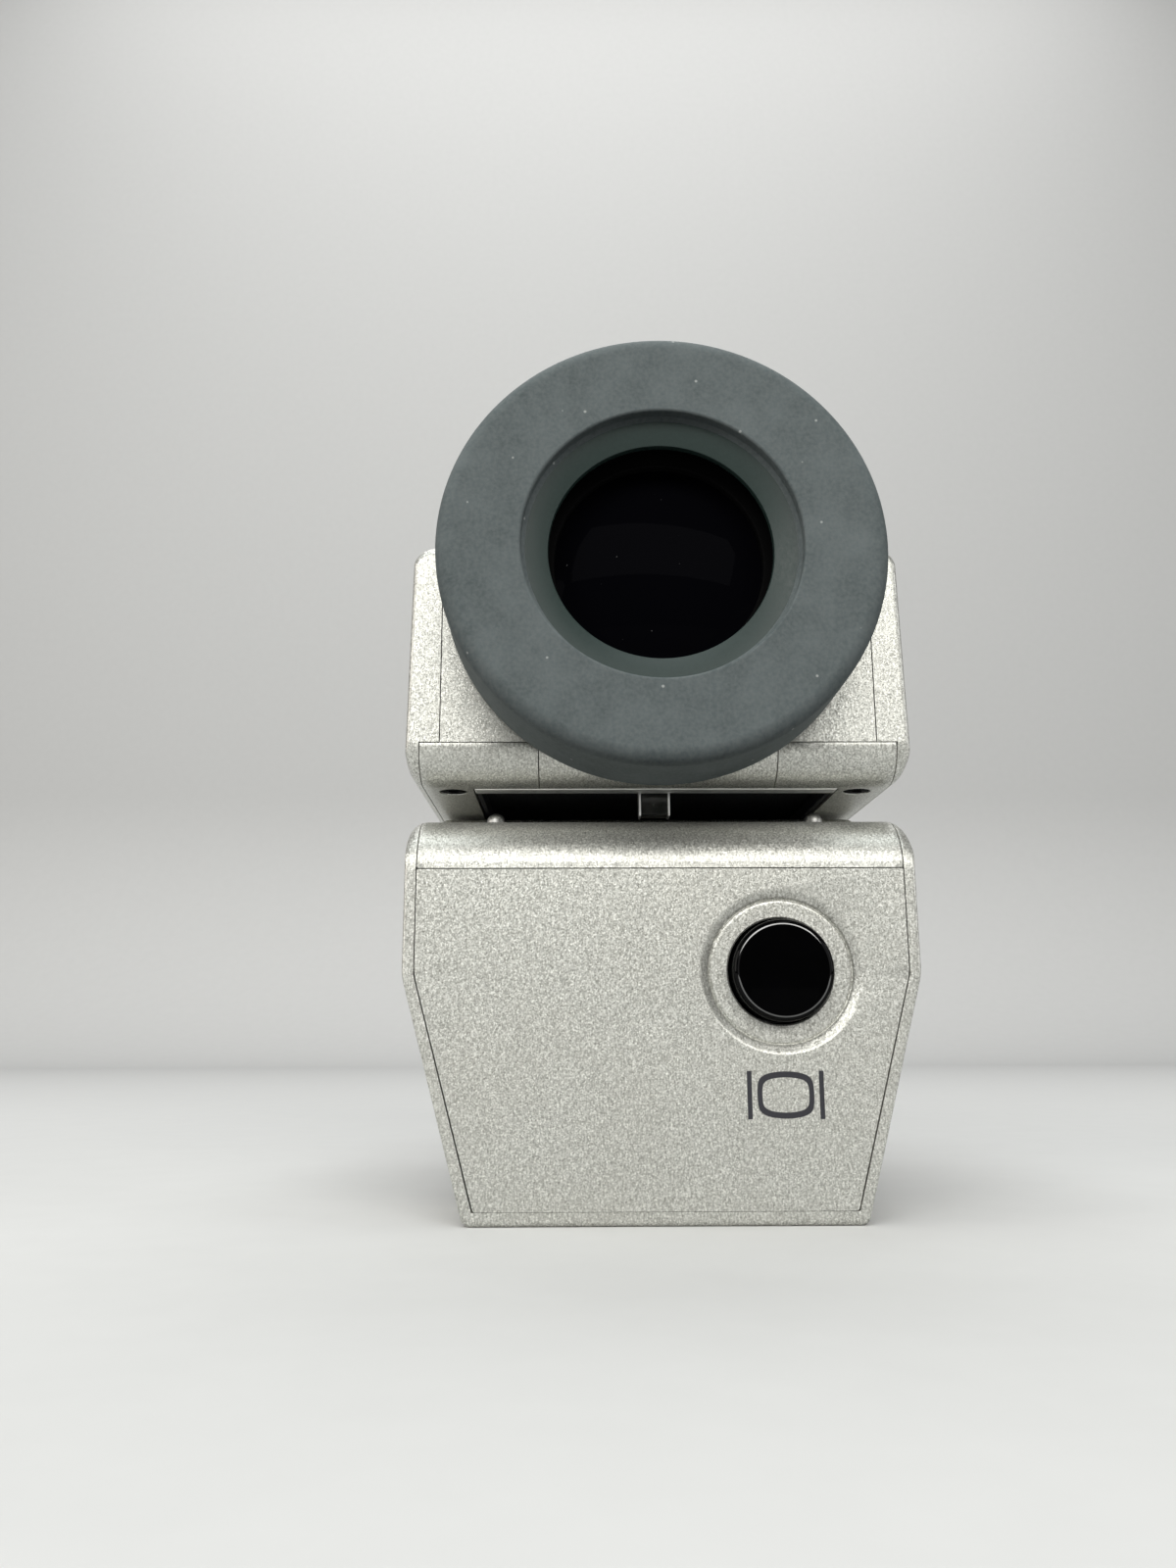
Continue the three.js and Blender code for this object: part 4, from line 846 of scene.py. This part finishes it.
def addCell(opening, radius, bore, lip, openingEdge, edge):
    low, high = corners("lens_cell")
    addRound("lensCell", [
        (opening, low.y, openingEdge, 3), (radius, low.y, edge, 2), (radius, high.y), (bore, high.y),
        (bore, low.y + lip), (opening, low.y + lip),
    ], 96, baffle, "lens_group", "matt_black", "lens_cell")


def addEyeLens(dome, radius, front, back, steps):
    # both faces bulge out as parabolas
    low, high = corners("eye_lens")
    shares = [i / steps for i in range(steps + 1)]
    profile = [(dome * share, low.y + front * share**2) for share in shares]
    profile += [(radius, low.y + front), (radius, high.y - back)]
    profile += [(dome * share, high.y - back * share**2) for share in reversed(shares)]
    addRound("eyeLens", profile, 96, glass, "lens_group", "glass", "eye_lens", closed=False, bend=50)


addEyecup(**eyecup)
addDial(**dial)
addBarrel(**barrel)
addCell(**cell)
addEyeLens(**eyeLens)
print("eyepiece made")

# The housing: shell with its cheeks, top cover with the deck, rear panel with the dish

housing = {
    "half": 14.2, "taper": 3.56, "kneeHeight": 13.0, "kneeRadius": 3.0, "shoulder": 0.95, "brow": 3.1,
    "browStart": 5.1, "lowCorner": 0.5, "lowEdge": 0.35, "cheekEdge": 0.25, "frontEdge": 0.8, "wall": 0.65,
    "rim": 0.05, "depth": 9.0, "top": 8.55, "slab": 4.6, "slack": 0.015,
}
cover = {"wall": 0.6, "rim": 0.03, "deckEdge": 0.6, "underDeck": 1.0}
deck = {"start": 10.5, "sunk": 1.5, "shellDrop": 0.5, "top": coverHigh.z}
lowZ = shellLow.z
kneeZ = lowZ + housing["kneeHeight"]
kneeLean = housing["taper"] / housing["kneeHeight"]
housingFront = rearY + housing["depth"]
blockY = shellHigh.y
browZ = housing["top"] - housing["brow"]
deckY, deckZ, deckFoot = rearY + deck["start"], deck["top"], browZ + deck["sunk"]
rimZ = browZ - deck["shellDrop"]
coverHalf = housing["half"] - housing["wall"] - half
plugLow, plugHigh = corners("plug_block")
noseLow, noseHigh = corners("hinge_block")
mouthX, mouthLow, mouthHigh = plugHigh.x + margin, plugLow.z - margin, plugHigh.z + margin


def placeHousing(x, station, z):
    y, floor = station
    rear = y - rearY
    top = housing["top"] - inset(rear, housing["brow"])
    if z > housing["browStart"]:
        z = squeezed(z, housing["browStart"], housing["top"], top)
    pivot = lowZ + housing["lowCorner"]
    if z < pivot:
        z = squeezed(z, pivot, lowZ, lowZ + inset(rear, housing["lowEdge"]))
    x *= 1 - inset(rear, housing["cheekEdge"]) / housing["half"]
    return x, y, max(z, floor)


def housingSkin():
    form = housing
    outline = mirrored([
        (form["half"] - form["taper"], lowZ, form["lowCorner"], 6),
        (form["half"], kneeZ, form["kneeRadius"], 5),
        (form["half"], form["top"], form["shoulder"], 10),
    ])
    rear = stepsFrom(rearY, 1, form, cheekEdge=4, lowEdge=4, brow=14)
    stations = [(y, lowZ) for y in sorted(rear)]
    edge, slab = form["frontEdge"], form["slab"]
    steps = roundSteps(edge, 6)
    stations += [(housingFront - d, lowZ + inset(d, edge)) for d in reversed(steps)]
    stations += [(housingFront + d, slab - inset(d, edge)) for d in steps]
    stations += [(0.0, slab), (blockY, slab)]
    bm = merged(drawn(outline, stations, placeHousing))
    for test in (lambda co: co.y < rearY + onPlane, lambda co: co.y > blockY - onPlane):
        bmesh.ops.edgeloop_fill(bm, edges=boundary(bm, test))
    return outward(bm)


def shellKept(p):
    if p.y > blockY - onPlane:
        return abs(p.x) > coverHalf + half or (abs(p.x) > noseHigh.x + seam and p.z < deckFoot)
    if abs(p.x) < coverHalf + half and p.z > rimZ:
        return False
    onFront = abs(p.y - housingFront) < 0.02
    return not (onFront and abs(p.x) < mouthX and mouthLow < p.z < mouthHigh)


def cheekRim(bm):
    # opens the rear, and leaves a flat rim as wide as the wall
    width = housing["wall"] - housing["cheekEdge"]
    removeFaces(bm, lambda face: face.calc_center_median().y < rearY + 1e-4)
    for vert in vertsOf(drawnOut(bm, boundary(bm, lambda co: co.y < rearY + onPlane))):
        vert.co.z = max(vert.co.z, lowZ + housing["lowEdge"] + width)
        below = max(kneeZ - vert.co.z, 0)
        limit = housing["half"] - housing["wall"] - kneeLean * below - (housing["slack"] if below else 0)
        vert.co.x = math.copysign(min(abs(vert.co.x), limit), vert.co.x)
    return merged(bm)


def addShell():
    piece = cheekRim(skin.copy())
    spots = [side * spot for side in (-1, 1) for spot in (coverHalf + half, mouthX, noseHigh.x + seam)]
    keep(split(piece, x=spots, z=(mouthLow, mouthHigh, rimZ, deckFoot)), shellKept)
    wall = {"wall": housing["wall"], "edge": housing["rim"], "even": False}
    addPiece("housingShell", piece, silver, "base", "silver", "base_shell", **wall)


def addCover(wall, rim, deckEdge, underDeck):
    side, end = coverHalf - half, deckY + underDeck
    piece = split(skin.copy(), x=(-side, side), y=(end,), z=(browZ + half,))
    keep(piece, lambda p: abs(p.x) < side and p.z > browZ + half and rearY + onPlane < p.y < end)
    top = block((-coverHigh.x, deckY, deckFoot), (coverHigh.x, blockY, deckZ))
    rims = [e for e in top.edges if min(v.co.z for v in e.verts) > deckZ - onPlane]
    rims = [e for e in rims if min(v.co.y for v in e.verts) < blockY - onPlane]
    soften(top, rims, deckEdge, 6)
    bmesh.ops.delete(top, geom=[f for f in top.faces if f.normal.z < -0.9], context="FACES_ONLY")
    joinedTo(piece, top)
    addPiece("housingCover", piece, silver, "base", "silver", "base_top_cover", wall=wall, edge=rim)


skin = housingSkin()
addShell()
addCover(**cover)
skin.free()

panel = {"wall": 0.6, "edge": 0.035, "lowCorner": 0.15, "topCorner": 0.06}
dish = {
    "radius": 4.5,
    "slope": [
        (4.46, 0.006), (4.4, 0.022), (4.35, 0.042), (4.3, 0.066), (4.2, 0.116), (4.1, 0.166), (4.03, 0.204),
        (3.99, 0.235), (3.965, 0.28), (3.95, 0.32), (3.92, 0.335), (3.885, 0.32), (3.855, 0.285),
        (3.82, 0.265), (3.7, 0.265),
    ],
    "depth": 0.265,
    "hole": 2.88,
    "holeEdge": 0.08,
    "holeDepth": 0.6,
}


def addPanel(wall, edge, lowCorner, topCorner):
    gap = housing["wall"] + seam
    side = gap * math.hypot(1, kneeLean)
    wide = housing["half"] - gap
    lowWide = housing["half"] - housing["taper"] + gap * kneeLean - side
    bm = rounded(mirrored([
        (lowWide, corners("rear_panel")[0].z, lowCorner, 3),
        (wide, kneeZ + (side - gap) / kneeLean, housing["kneeRadius"], 6),
        (wide, browZ - half, topCorner, 2),
    ]))
    ring = circle(bm, dish["radius"], 128, lambda across, up: (across + buttonX, 0, up + buttonZ))
    fillFlat(bm, bm.edges[:], (0, -1, 0))
    hole, depth = dish["hole"], dish["depth"]
    bowl = dish["slope"] + [(hole + dish["holeEdge"], depth), (hole, depth + dish["holeEdge"])]
    bowl.append((hole, depth + dish["holeDepth"]))
    rim = [e for e in bm.edges if all(v in ring for v in e.verts)]
    for radius, deep in bowl:
        rim = edgesOf(drawnOut(bm, rim))
        for vert in {v for e in rim for v in e.verts}:
            out = Vector((vert.co.x - buttonX, 0, vert.co.z - buttonZ)).normalized() * radius
            vert.co = (buttonX + out.x, deep, buttonZ + out.z)
    bmesh.ops.translate(bm, verts=bm.verts[:], vec=(0, rearY, 0))
    outward(bm)
    if max(bm.faces, key=lambda f: f.calc_area()).normal.y > 0:
        bmesh.ops.reverse_faces(bm, faces=bm.faces[:])
    addPiece("rearPanel", bm, silver, "base", "silver", "rear_panel", wall=wall, edge=edge)


addPanel(**panel)
print("housing made")

# The round button, with a slightly domed top and a collar that holds it in

button = {
    "radius": 2.74, "edge": 0.34, "crown": 0.08, "crownInset": 0.02, "crownShare": 0.86, "proud": 1.0,
    "collar": 3.6, "collarStart": 1.6, "collarEnd": 2.2, "stem": 1.2, "rise": 0.01,
}


def addButton(radius, edge, crown, crownInset, crownShare, proud, collar, collarStart, collarEnd, stem, rise):
    top, end = rearY - proud, corners("display_button")[1].y
    start, stop = rearY + collarStart, rearY + collarEnd
    profile = []
    for share in (i / 8 for i in range(9)):
        profile.append(((radius - crownInset) * share * crownShare, top - crown * (1 - share**2)))
    profile += [(radius, top + rise, edge, 10), (radius, start), (collar, start), (collar, stop)]
    profile += [(stem, stop), (stem, end), (0, end)]
    bm = turned(profile, buttonX, buttonZ, closed=False)
    addPiece("displayButton", bm, gloss, "button", "gloss_black", "display_button", bend=50)


addButton(**button)

# The printed mark below the button: a screen between two bars

mark = {
    "middle": (6.49, -6.75), "bar": 1.93, "height": 2.5, "stroke": 0.25, "wide": 1.42, "tall": 0.98,
    "bulge": 0.24, "swell": 0.1, "square": 7, "lift": 0.012, "sunk": 0.02,
}


def addMark(middle, bar, height, stroke, wide, tall, bulge, swell, square, lift, sunk):
    front, back = rearY - lift, rearY + sunk
    middleX, middleZ = middle
    thin, rise = stroke / 2, height / 2
    bars = [block((x - thin, front, middleZ - rise), (x + thin, back, middleZ + rise))
            for x in (middleX - bar, middleX + bar)]

    def screen(across, up):
        angle = math.atan2(up, across)
        a, b = math.cos(angle), math.sin(angle)
        stretch = (abs(a) ** square + abs(b) ** square) ** (-1 / square)
        a, b = a * stretch, b * stretch
        x, z = a * (wide + swell * (1 - b * b)), b * (tall + bulge * (1 - a * a))
        return middleX + x, front, middleZ + z

    ring = bmesh.new()
    circle(ring, 1, 64, screen)
    for vert in vertsOf(drawnOut(ring, ring.edges[:])):
        vert.co.x = middleX + (vert.co.x - middleX) * (wide - stroke) / wide
        vert.co.z = middleZ + (vert.co.z - middleZ) * (tall - stroke) / tall
    for vert in vertsOf(bmesh.ops.extrude_face_region(ring, geom=ring.faces[:])["geom"]):
        vert.co.y = back
    addPiece("screenMark", outward(joinedTo(ring, *bars)), ink, "base", "silver")


addMark(**mark)

# Bumpers on the cover

bumper = {"radius": 0.55, "height": 0.7, "edge": 0.5, "shank": 0.3, "seat": 0.05}


def addBumper(name, radius, height, edge, shank, seat):
    place = underside(name)
    place.z = corners(name)[1].z - height
    profile = [(0, -height), (shank, -height), (shank, seat), (radius, seat), (radius, height, edge, 8)]
    dome = swung(turned(profile + [(0, height)], steps=40, closed=False), place)
    addPiece(name + "_dome", dome, stopMetal, "base", "steel", name)


for name in ("bumper_left", "bumper_right"):
    addBumper(name, **bumper)
print("button and bumpers made")

# Hinge: nose of the base, arms and middle knuckle of the head, pins and washers

nose = {
    "edge": 0.15, "overlap": 0.2, "bridgeEdge": 0.05, "tabInset": 1.3, "tabLow": 1.65, "tabHigh": 3.4,
    "tabReach": 1.7, "tabEdge": 0.1, "flat": 0.01,
}
knuckleEdge = 0.12
hingeWasher = {"bore": 1.1, "radius": 2.4, "edge": 0.06}


def addNose(edge, overlap, bridgeEdge, tabInset, tabLow, tabHigh, tabReach, tabEdge, flat):
    # flat is what is left between the two rounded corners of each lobe, halved
    top, bottom, start = noseHigh.z, noseLow.z, blockY + seam
    front, corner = hingeY + hinge["radius"], hinge["radius"] - flat
    side = [(start, bottom), (front, bottom, corner, 14), (front, top, corner, 14), (start, top)]
    spans = (noseLow.x, -tunnelHalf), (tunnelHalf, noseHigh.x)
    lobes = [prism(rounded(side), "x", near, far, edge) for near, far in spans]
    wide, back = tunnelHalf + overlap, hingeY - hinge["radius"]
    bridge = block((-wide, start, bottom), (wide, back, top), bridgeEdge)
    wide = noseHigh.x - tabInset
    tab = block((-wide, noseLow.y, bottom + tabLow), (wide, blockY + tabReach, bottom + tabHigh), tabEdge)
    bm = outward(joinedTo(bridge, tab, *lobes))
    addPiece("hingeNose", bm, silver, "base", "silver", "hinge_block")


def addKnuckle(name, node, radius, neck):
    # a wheel round the hinge's axis with a neck up into the head
    low, high = corners(node)
    bm = bmesh.new()
    ring = circle(bm, radius, 80, lambda across, up: (hingeY + across, 0, hingeZ + up))
    inner = [v for v in ring if abs(v.co.x - hingeY) < neck and v.co.z > hingeZ]
    bmesh.ops.delete(bm, geom=inner, context="VERTS")
    ends = sorted((v for v in bm.verts if len(v.link_edges) == 1), key=lambda v: v.co.x)
    tops = [bm.verts.new((hingeY + side * neck, 0, high.z)) for side in (-1, 1)]
    for pair in ((ends[0], tops[0]), tops, (tops[1], ends[1])):
        bm.edges.new(pair)
    addPiece(name, prism(bm, "x", low.x, high.x, knuckleEdge), silver, "head", "silver", node)


def addHingeWasher(name, bore, radius, edge):
    low, high = corners("hinge_" + name)
    profile = [(bore, low.x), (radius, low.x, edge, 2), (radius, high.x, edge, 2), (bore, high.x)]
    ring = swung(turned(profile, steps=64), (0, hingeY, hingeZ), "Z", -quarterTurn)
    addPiece(name, ring, steel, "base", "steel", "hinge_" + name)


addNose(**nose)
for name in ("left", "right"):
    addKnuckle("hingeArm_" + name, "hinge_arm_" + name, hinge["armRadius"], hinge["armNeck"])
addKnuckle("middleKnuckle", "flex_knuckle", hinge["tunnelRadius"], hinge["middleNeck"])
for name in ("washer_left", "washer_right"):
    addHingeWasher(name, **hingeWasher)
print("hinge made")

# Shoe foot with its four screws

foot = {
    "corner": 1.2, "rearCorner": 0.6, "thickness": 2.0, "edge": 0.25, "seat": 1.6, "sunk": 1.2, "neck": 6.2,
    "neckEdge": 0.12, "overlap": 0.1, "screwX": 4.2, "screwY": 5.6,
}
shoeScrew = {
    "radius": 1.5, "height": 0.9, "edge": 0.2, "shank": 0.75, "mouth": 0.9, "socket": 0.5,
    "socketDepth": 0.35,
}


def addFoot(corner, rearCorner, thickness, edge, seat, sunk, neck, neckEdge, overlap, screwX, screwY):
    low, high = corners("shoe_foot")
    in0, in1 = low + Vector((edge,) * 3), high - Vector((edge,) * 3)
    bm = rounded([
        (in0.x, in0.y, rearCorner), (in1.x, in0.y, rearCorner),
        (in1.x, in1.y, corner), (in0.x, in1.y, corner),
    ])
    rings = []
    for x in (-screwX, screwX):
        for y in (-screwY, screwY):
            rings.append(circle(bm, seat, 48, lambda across, up: (across + x, 0, up + y)))
    for vert in bm.verts:
        vert.co = (vert.co.x, vert.co.z, 0)
    rim = [e for e in bm.edges if not any(e.verts[0] in ring for ring in rings)]
    fillFlat(bm, bm.edges[:], (0, 0, -1))
    for ring in rings:
        made = drawnOut(bm, [e for e in bm.edges if all(v in ring for v in e.verts)])
        for vert in vertsOf(made):
            vert.co.z = sunk
        bmesh.ops.edgeloop_fill(bm, edges=edgesOf(made))
    for grow, z in ((edge, edge), (0, thickness - edge), (-edge, thickness)):
        rim = edgesOf(drawnOut(bm, rim))
        for vert in {v for e in rim for v in e.verts}:
            vert.co.x *= 1 + grow / high.x
            vert.co.y *= 1 + grow / high.y
            vert.co.z = z
    bmesh.ops.edgeloop_fill(bm, edges=rim)
    outward(bm)
    joinedTo(bm, block((-neck, low.y, thickness - overlap), (neck, high.y, high.z), neckEdge))
    addPiece("shoePlate", bm, steel, "base", "steel", "shoe_foot", bend=40)


def addShoeScrew(number, radius, height, edge, shank, mouth, socket, socketDepth):
    name = "shoe_screw_" + number
    low, high = corners(name)
    length = high.z - low.z
    profile = [(0, socketDepth), (socket, socketDepth), (mouth, 0), (radius, 0, edge, 4), (radius, height)]
    profile += [(shank, height), (shank, length), (0, length)]
    screw = swung(turned(profile, steps=40, closed=False), underside(name))
    addPiece("shoeScrew_" + number, screw, darkSteel, "base", "dark_steel", name)


addFoot(**foot)
for number in "1234":
    addShoeScrew(number, **shoeScrew)
print("foot made")

# Plug

plug = {"corner": 0.8, "wall": 0.35, "rim": 0.05, "blockCorner": 0.4, "blockEdge": 0.15}


def addPlug(corner, wall, rim, blockCorner, blockEdge):
    bm = prism(roundedBox(plugLow, plugHigh, blockCorner), "y", plugLow.y, plugHigh.y, blockEdge)
    addPiece("plugBlock", bm, black, "base", "matt_black", "plug_block")
    low, high = corners("plug_shell")
    bm = roundedBox(low, high, corner)
    far = set(vertsOf(drawnOut(bm, bm.edges[:])))
    for vert in bm.verts:
        vert.co.y = high.y if vert in far else low.y
    addPiece("plugSleeve", outward(bm), steel, "base", "steel", "plug_shell", wall=wall, edge=rim)


addPlug(**plug)
print("plug made")

# Finishes of the nodes that stay

kept = [
    (black, ("base_chassis", "plug_tongue", "head_chassis", "display_frame", "driver_chip", "front_spacer",
             "rear_spacer", "cell_ring")),
    (steel, ("hinge_pin_left", "hinge_pin_right", "dial_retainer", "focus_pin")),
    (glass, ("display_panel", "middle_lens", "field_lens")),
    (circuit, ("main_board", "driver_board")),
    (film, ("hinge_flex", "display_flex")),
    (darkSteel, ("tact_switch",)),
    (rubber, ("button_pad",)),
    (goldPlate, ("plug_contacts",)),
    (white, ("backlight",)),
]
for finish, names in kept:
    for name in names:
        mesh = nodes[name].data
        mesh.materials.clear()
        mesh.materials.append(finish)
print("kept nodes finished")

# Floor, backdrop and lights, in metres

stage = {"floor": shellLow.z * mm, "reach": 0.9, "back": 0.45, "bend": 0.12, "height": 0.7}
lamps = {
    "frontSoftbox": {"place": (-0.06, -0.6, 0.34), "size": (1, 0.26), "power": 4, "color": (1, 0.99, 0.96)},
    "topSoftbox": {"place": (-0.05, -0.16, 0.6), "size": (0.5, 0.3), "power": 1.5, "color": (0.95, 1, 1)},
    "backSoftbox": {"place": (0, 0.28, 0.66), "size": (0.6, 0.3), "power": 1.7},
    "leftSoftbox": {"place": (-0.55, -0.16, 0.16), "size": (0.3, 0.3), "power": 0.8, "color": (1, 0.95, 0.9)},
    "rightSoftbox": {"place": (0.55, -0.16, 0.16), "size": (0.3, 0.3), "power": 0.6},
}
lampTarget = (0, 0, 0.01)
roomLight = 0.08


def addStage(floor, reach, back, bend, height):
    # pale to the camera and in mirror images, and darker for the light that it sends back
    paint = Paint("paleStage", Roughness=0.9)
    pale = paint.mix(paint.noise(3.0, 2), (0.7, 0.7, 0.69), (0.73, 0.73, 0.72))
    seen = [paint.node("ShaderNodeLightPath", {}, {}, ray) for ray in
            ("Is Camera Ray", "Is Glossy Ray", "Is Transmission Ray")]
    paint.set("Base Color", paint.mix(seen[0] + seen[1] + seen[2], (0.1, 0.1, 0.1), pale))
    bm = rounded([(-reach, 0), (back, 0, bend, 16), (back, height)], closed=False)
    for vert in bm.verts:
        vert.co = (-reach, vert.co.x, vert.co.z + floor)
    for vert in vertsOf(drawnOut(bm, bm.edges[:])):
        vert.co.x = reach
    placed("paleStage", smoothMesh("paleStage", outward(bm), paint.material))


def addLamp(name, place, size, power, color=(1, 1, 1)):
    data = bpy.data.lights.new(name, "AREA")
    setAll(data, shape="RECTANGLE", size=size[0], size_y=size[1], energy=power, color=color)
    turn = (Vector(lampTarget) - Vector(place)).to_track_quat("-Z", "Y")
    setAll(placed(name, data), location=place, rotation_mode="QUATERNION", rotation_quaternion=turn)


addStage(**stage)
for name, spec in lamps.items():
    addLamp(name, **spec)
world = bpy.data.worlds.new("softRoom")
bpy.context.scene.world = world
world.use_nodes = True
room = world.node_tree.nodes["Background"].inputs
room["Color"].default_value = (1, 1, 1, 1)
room["Strength"].default_value = roomLight
bpy.context.scene.view_settings.view_transform = "Standard"
print("stage and lights made")
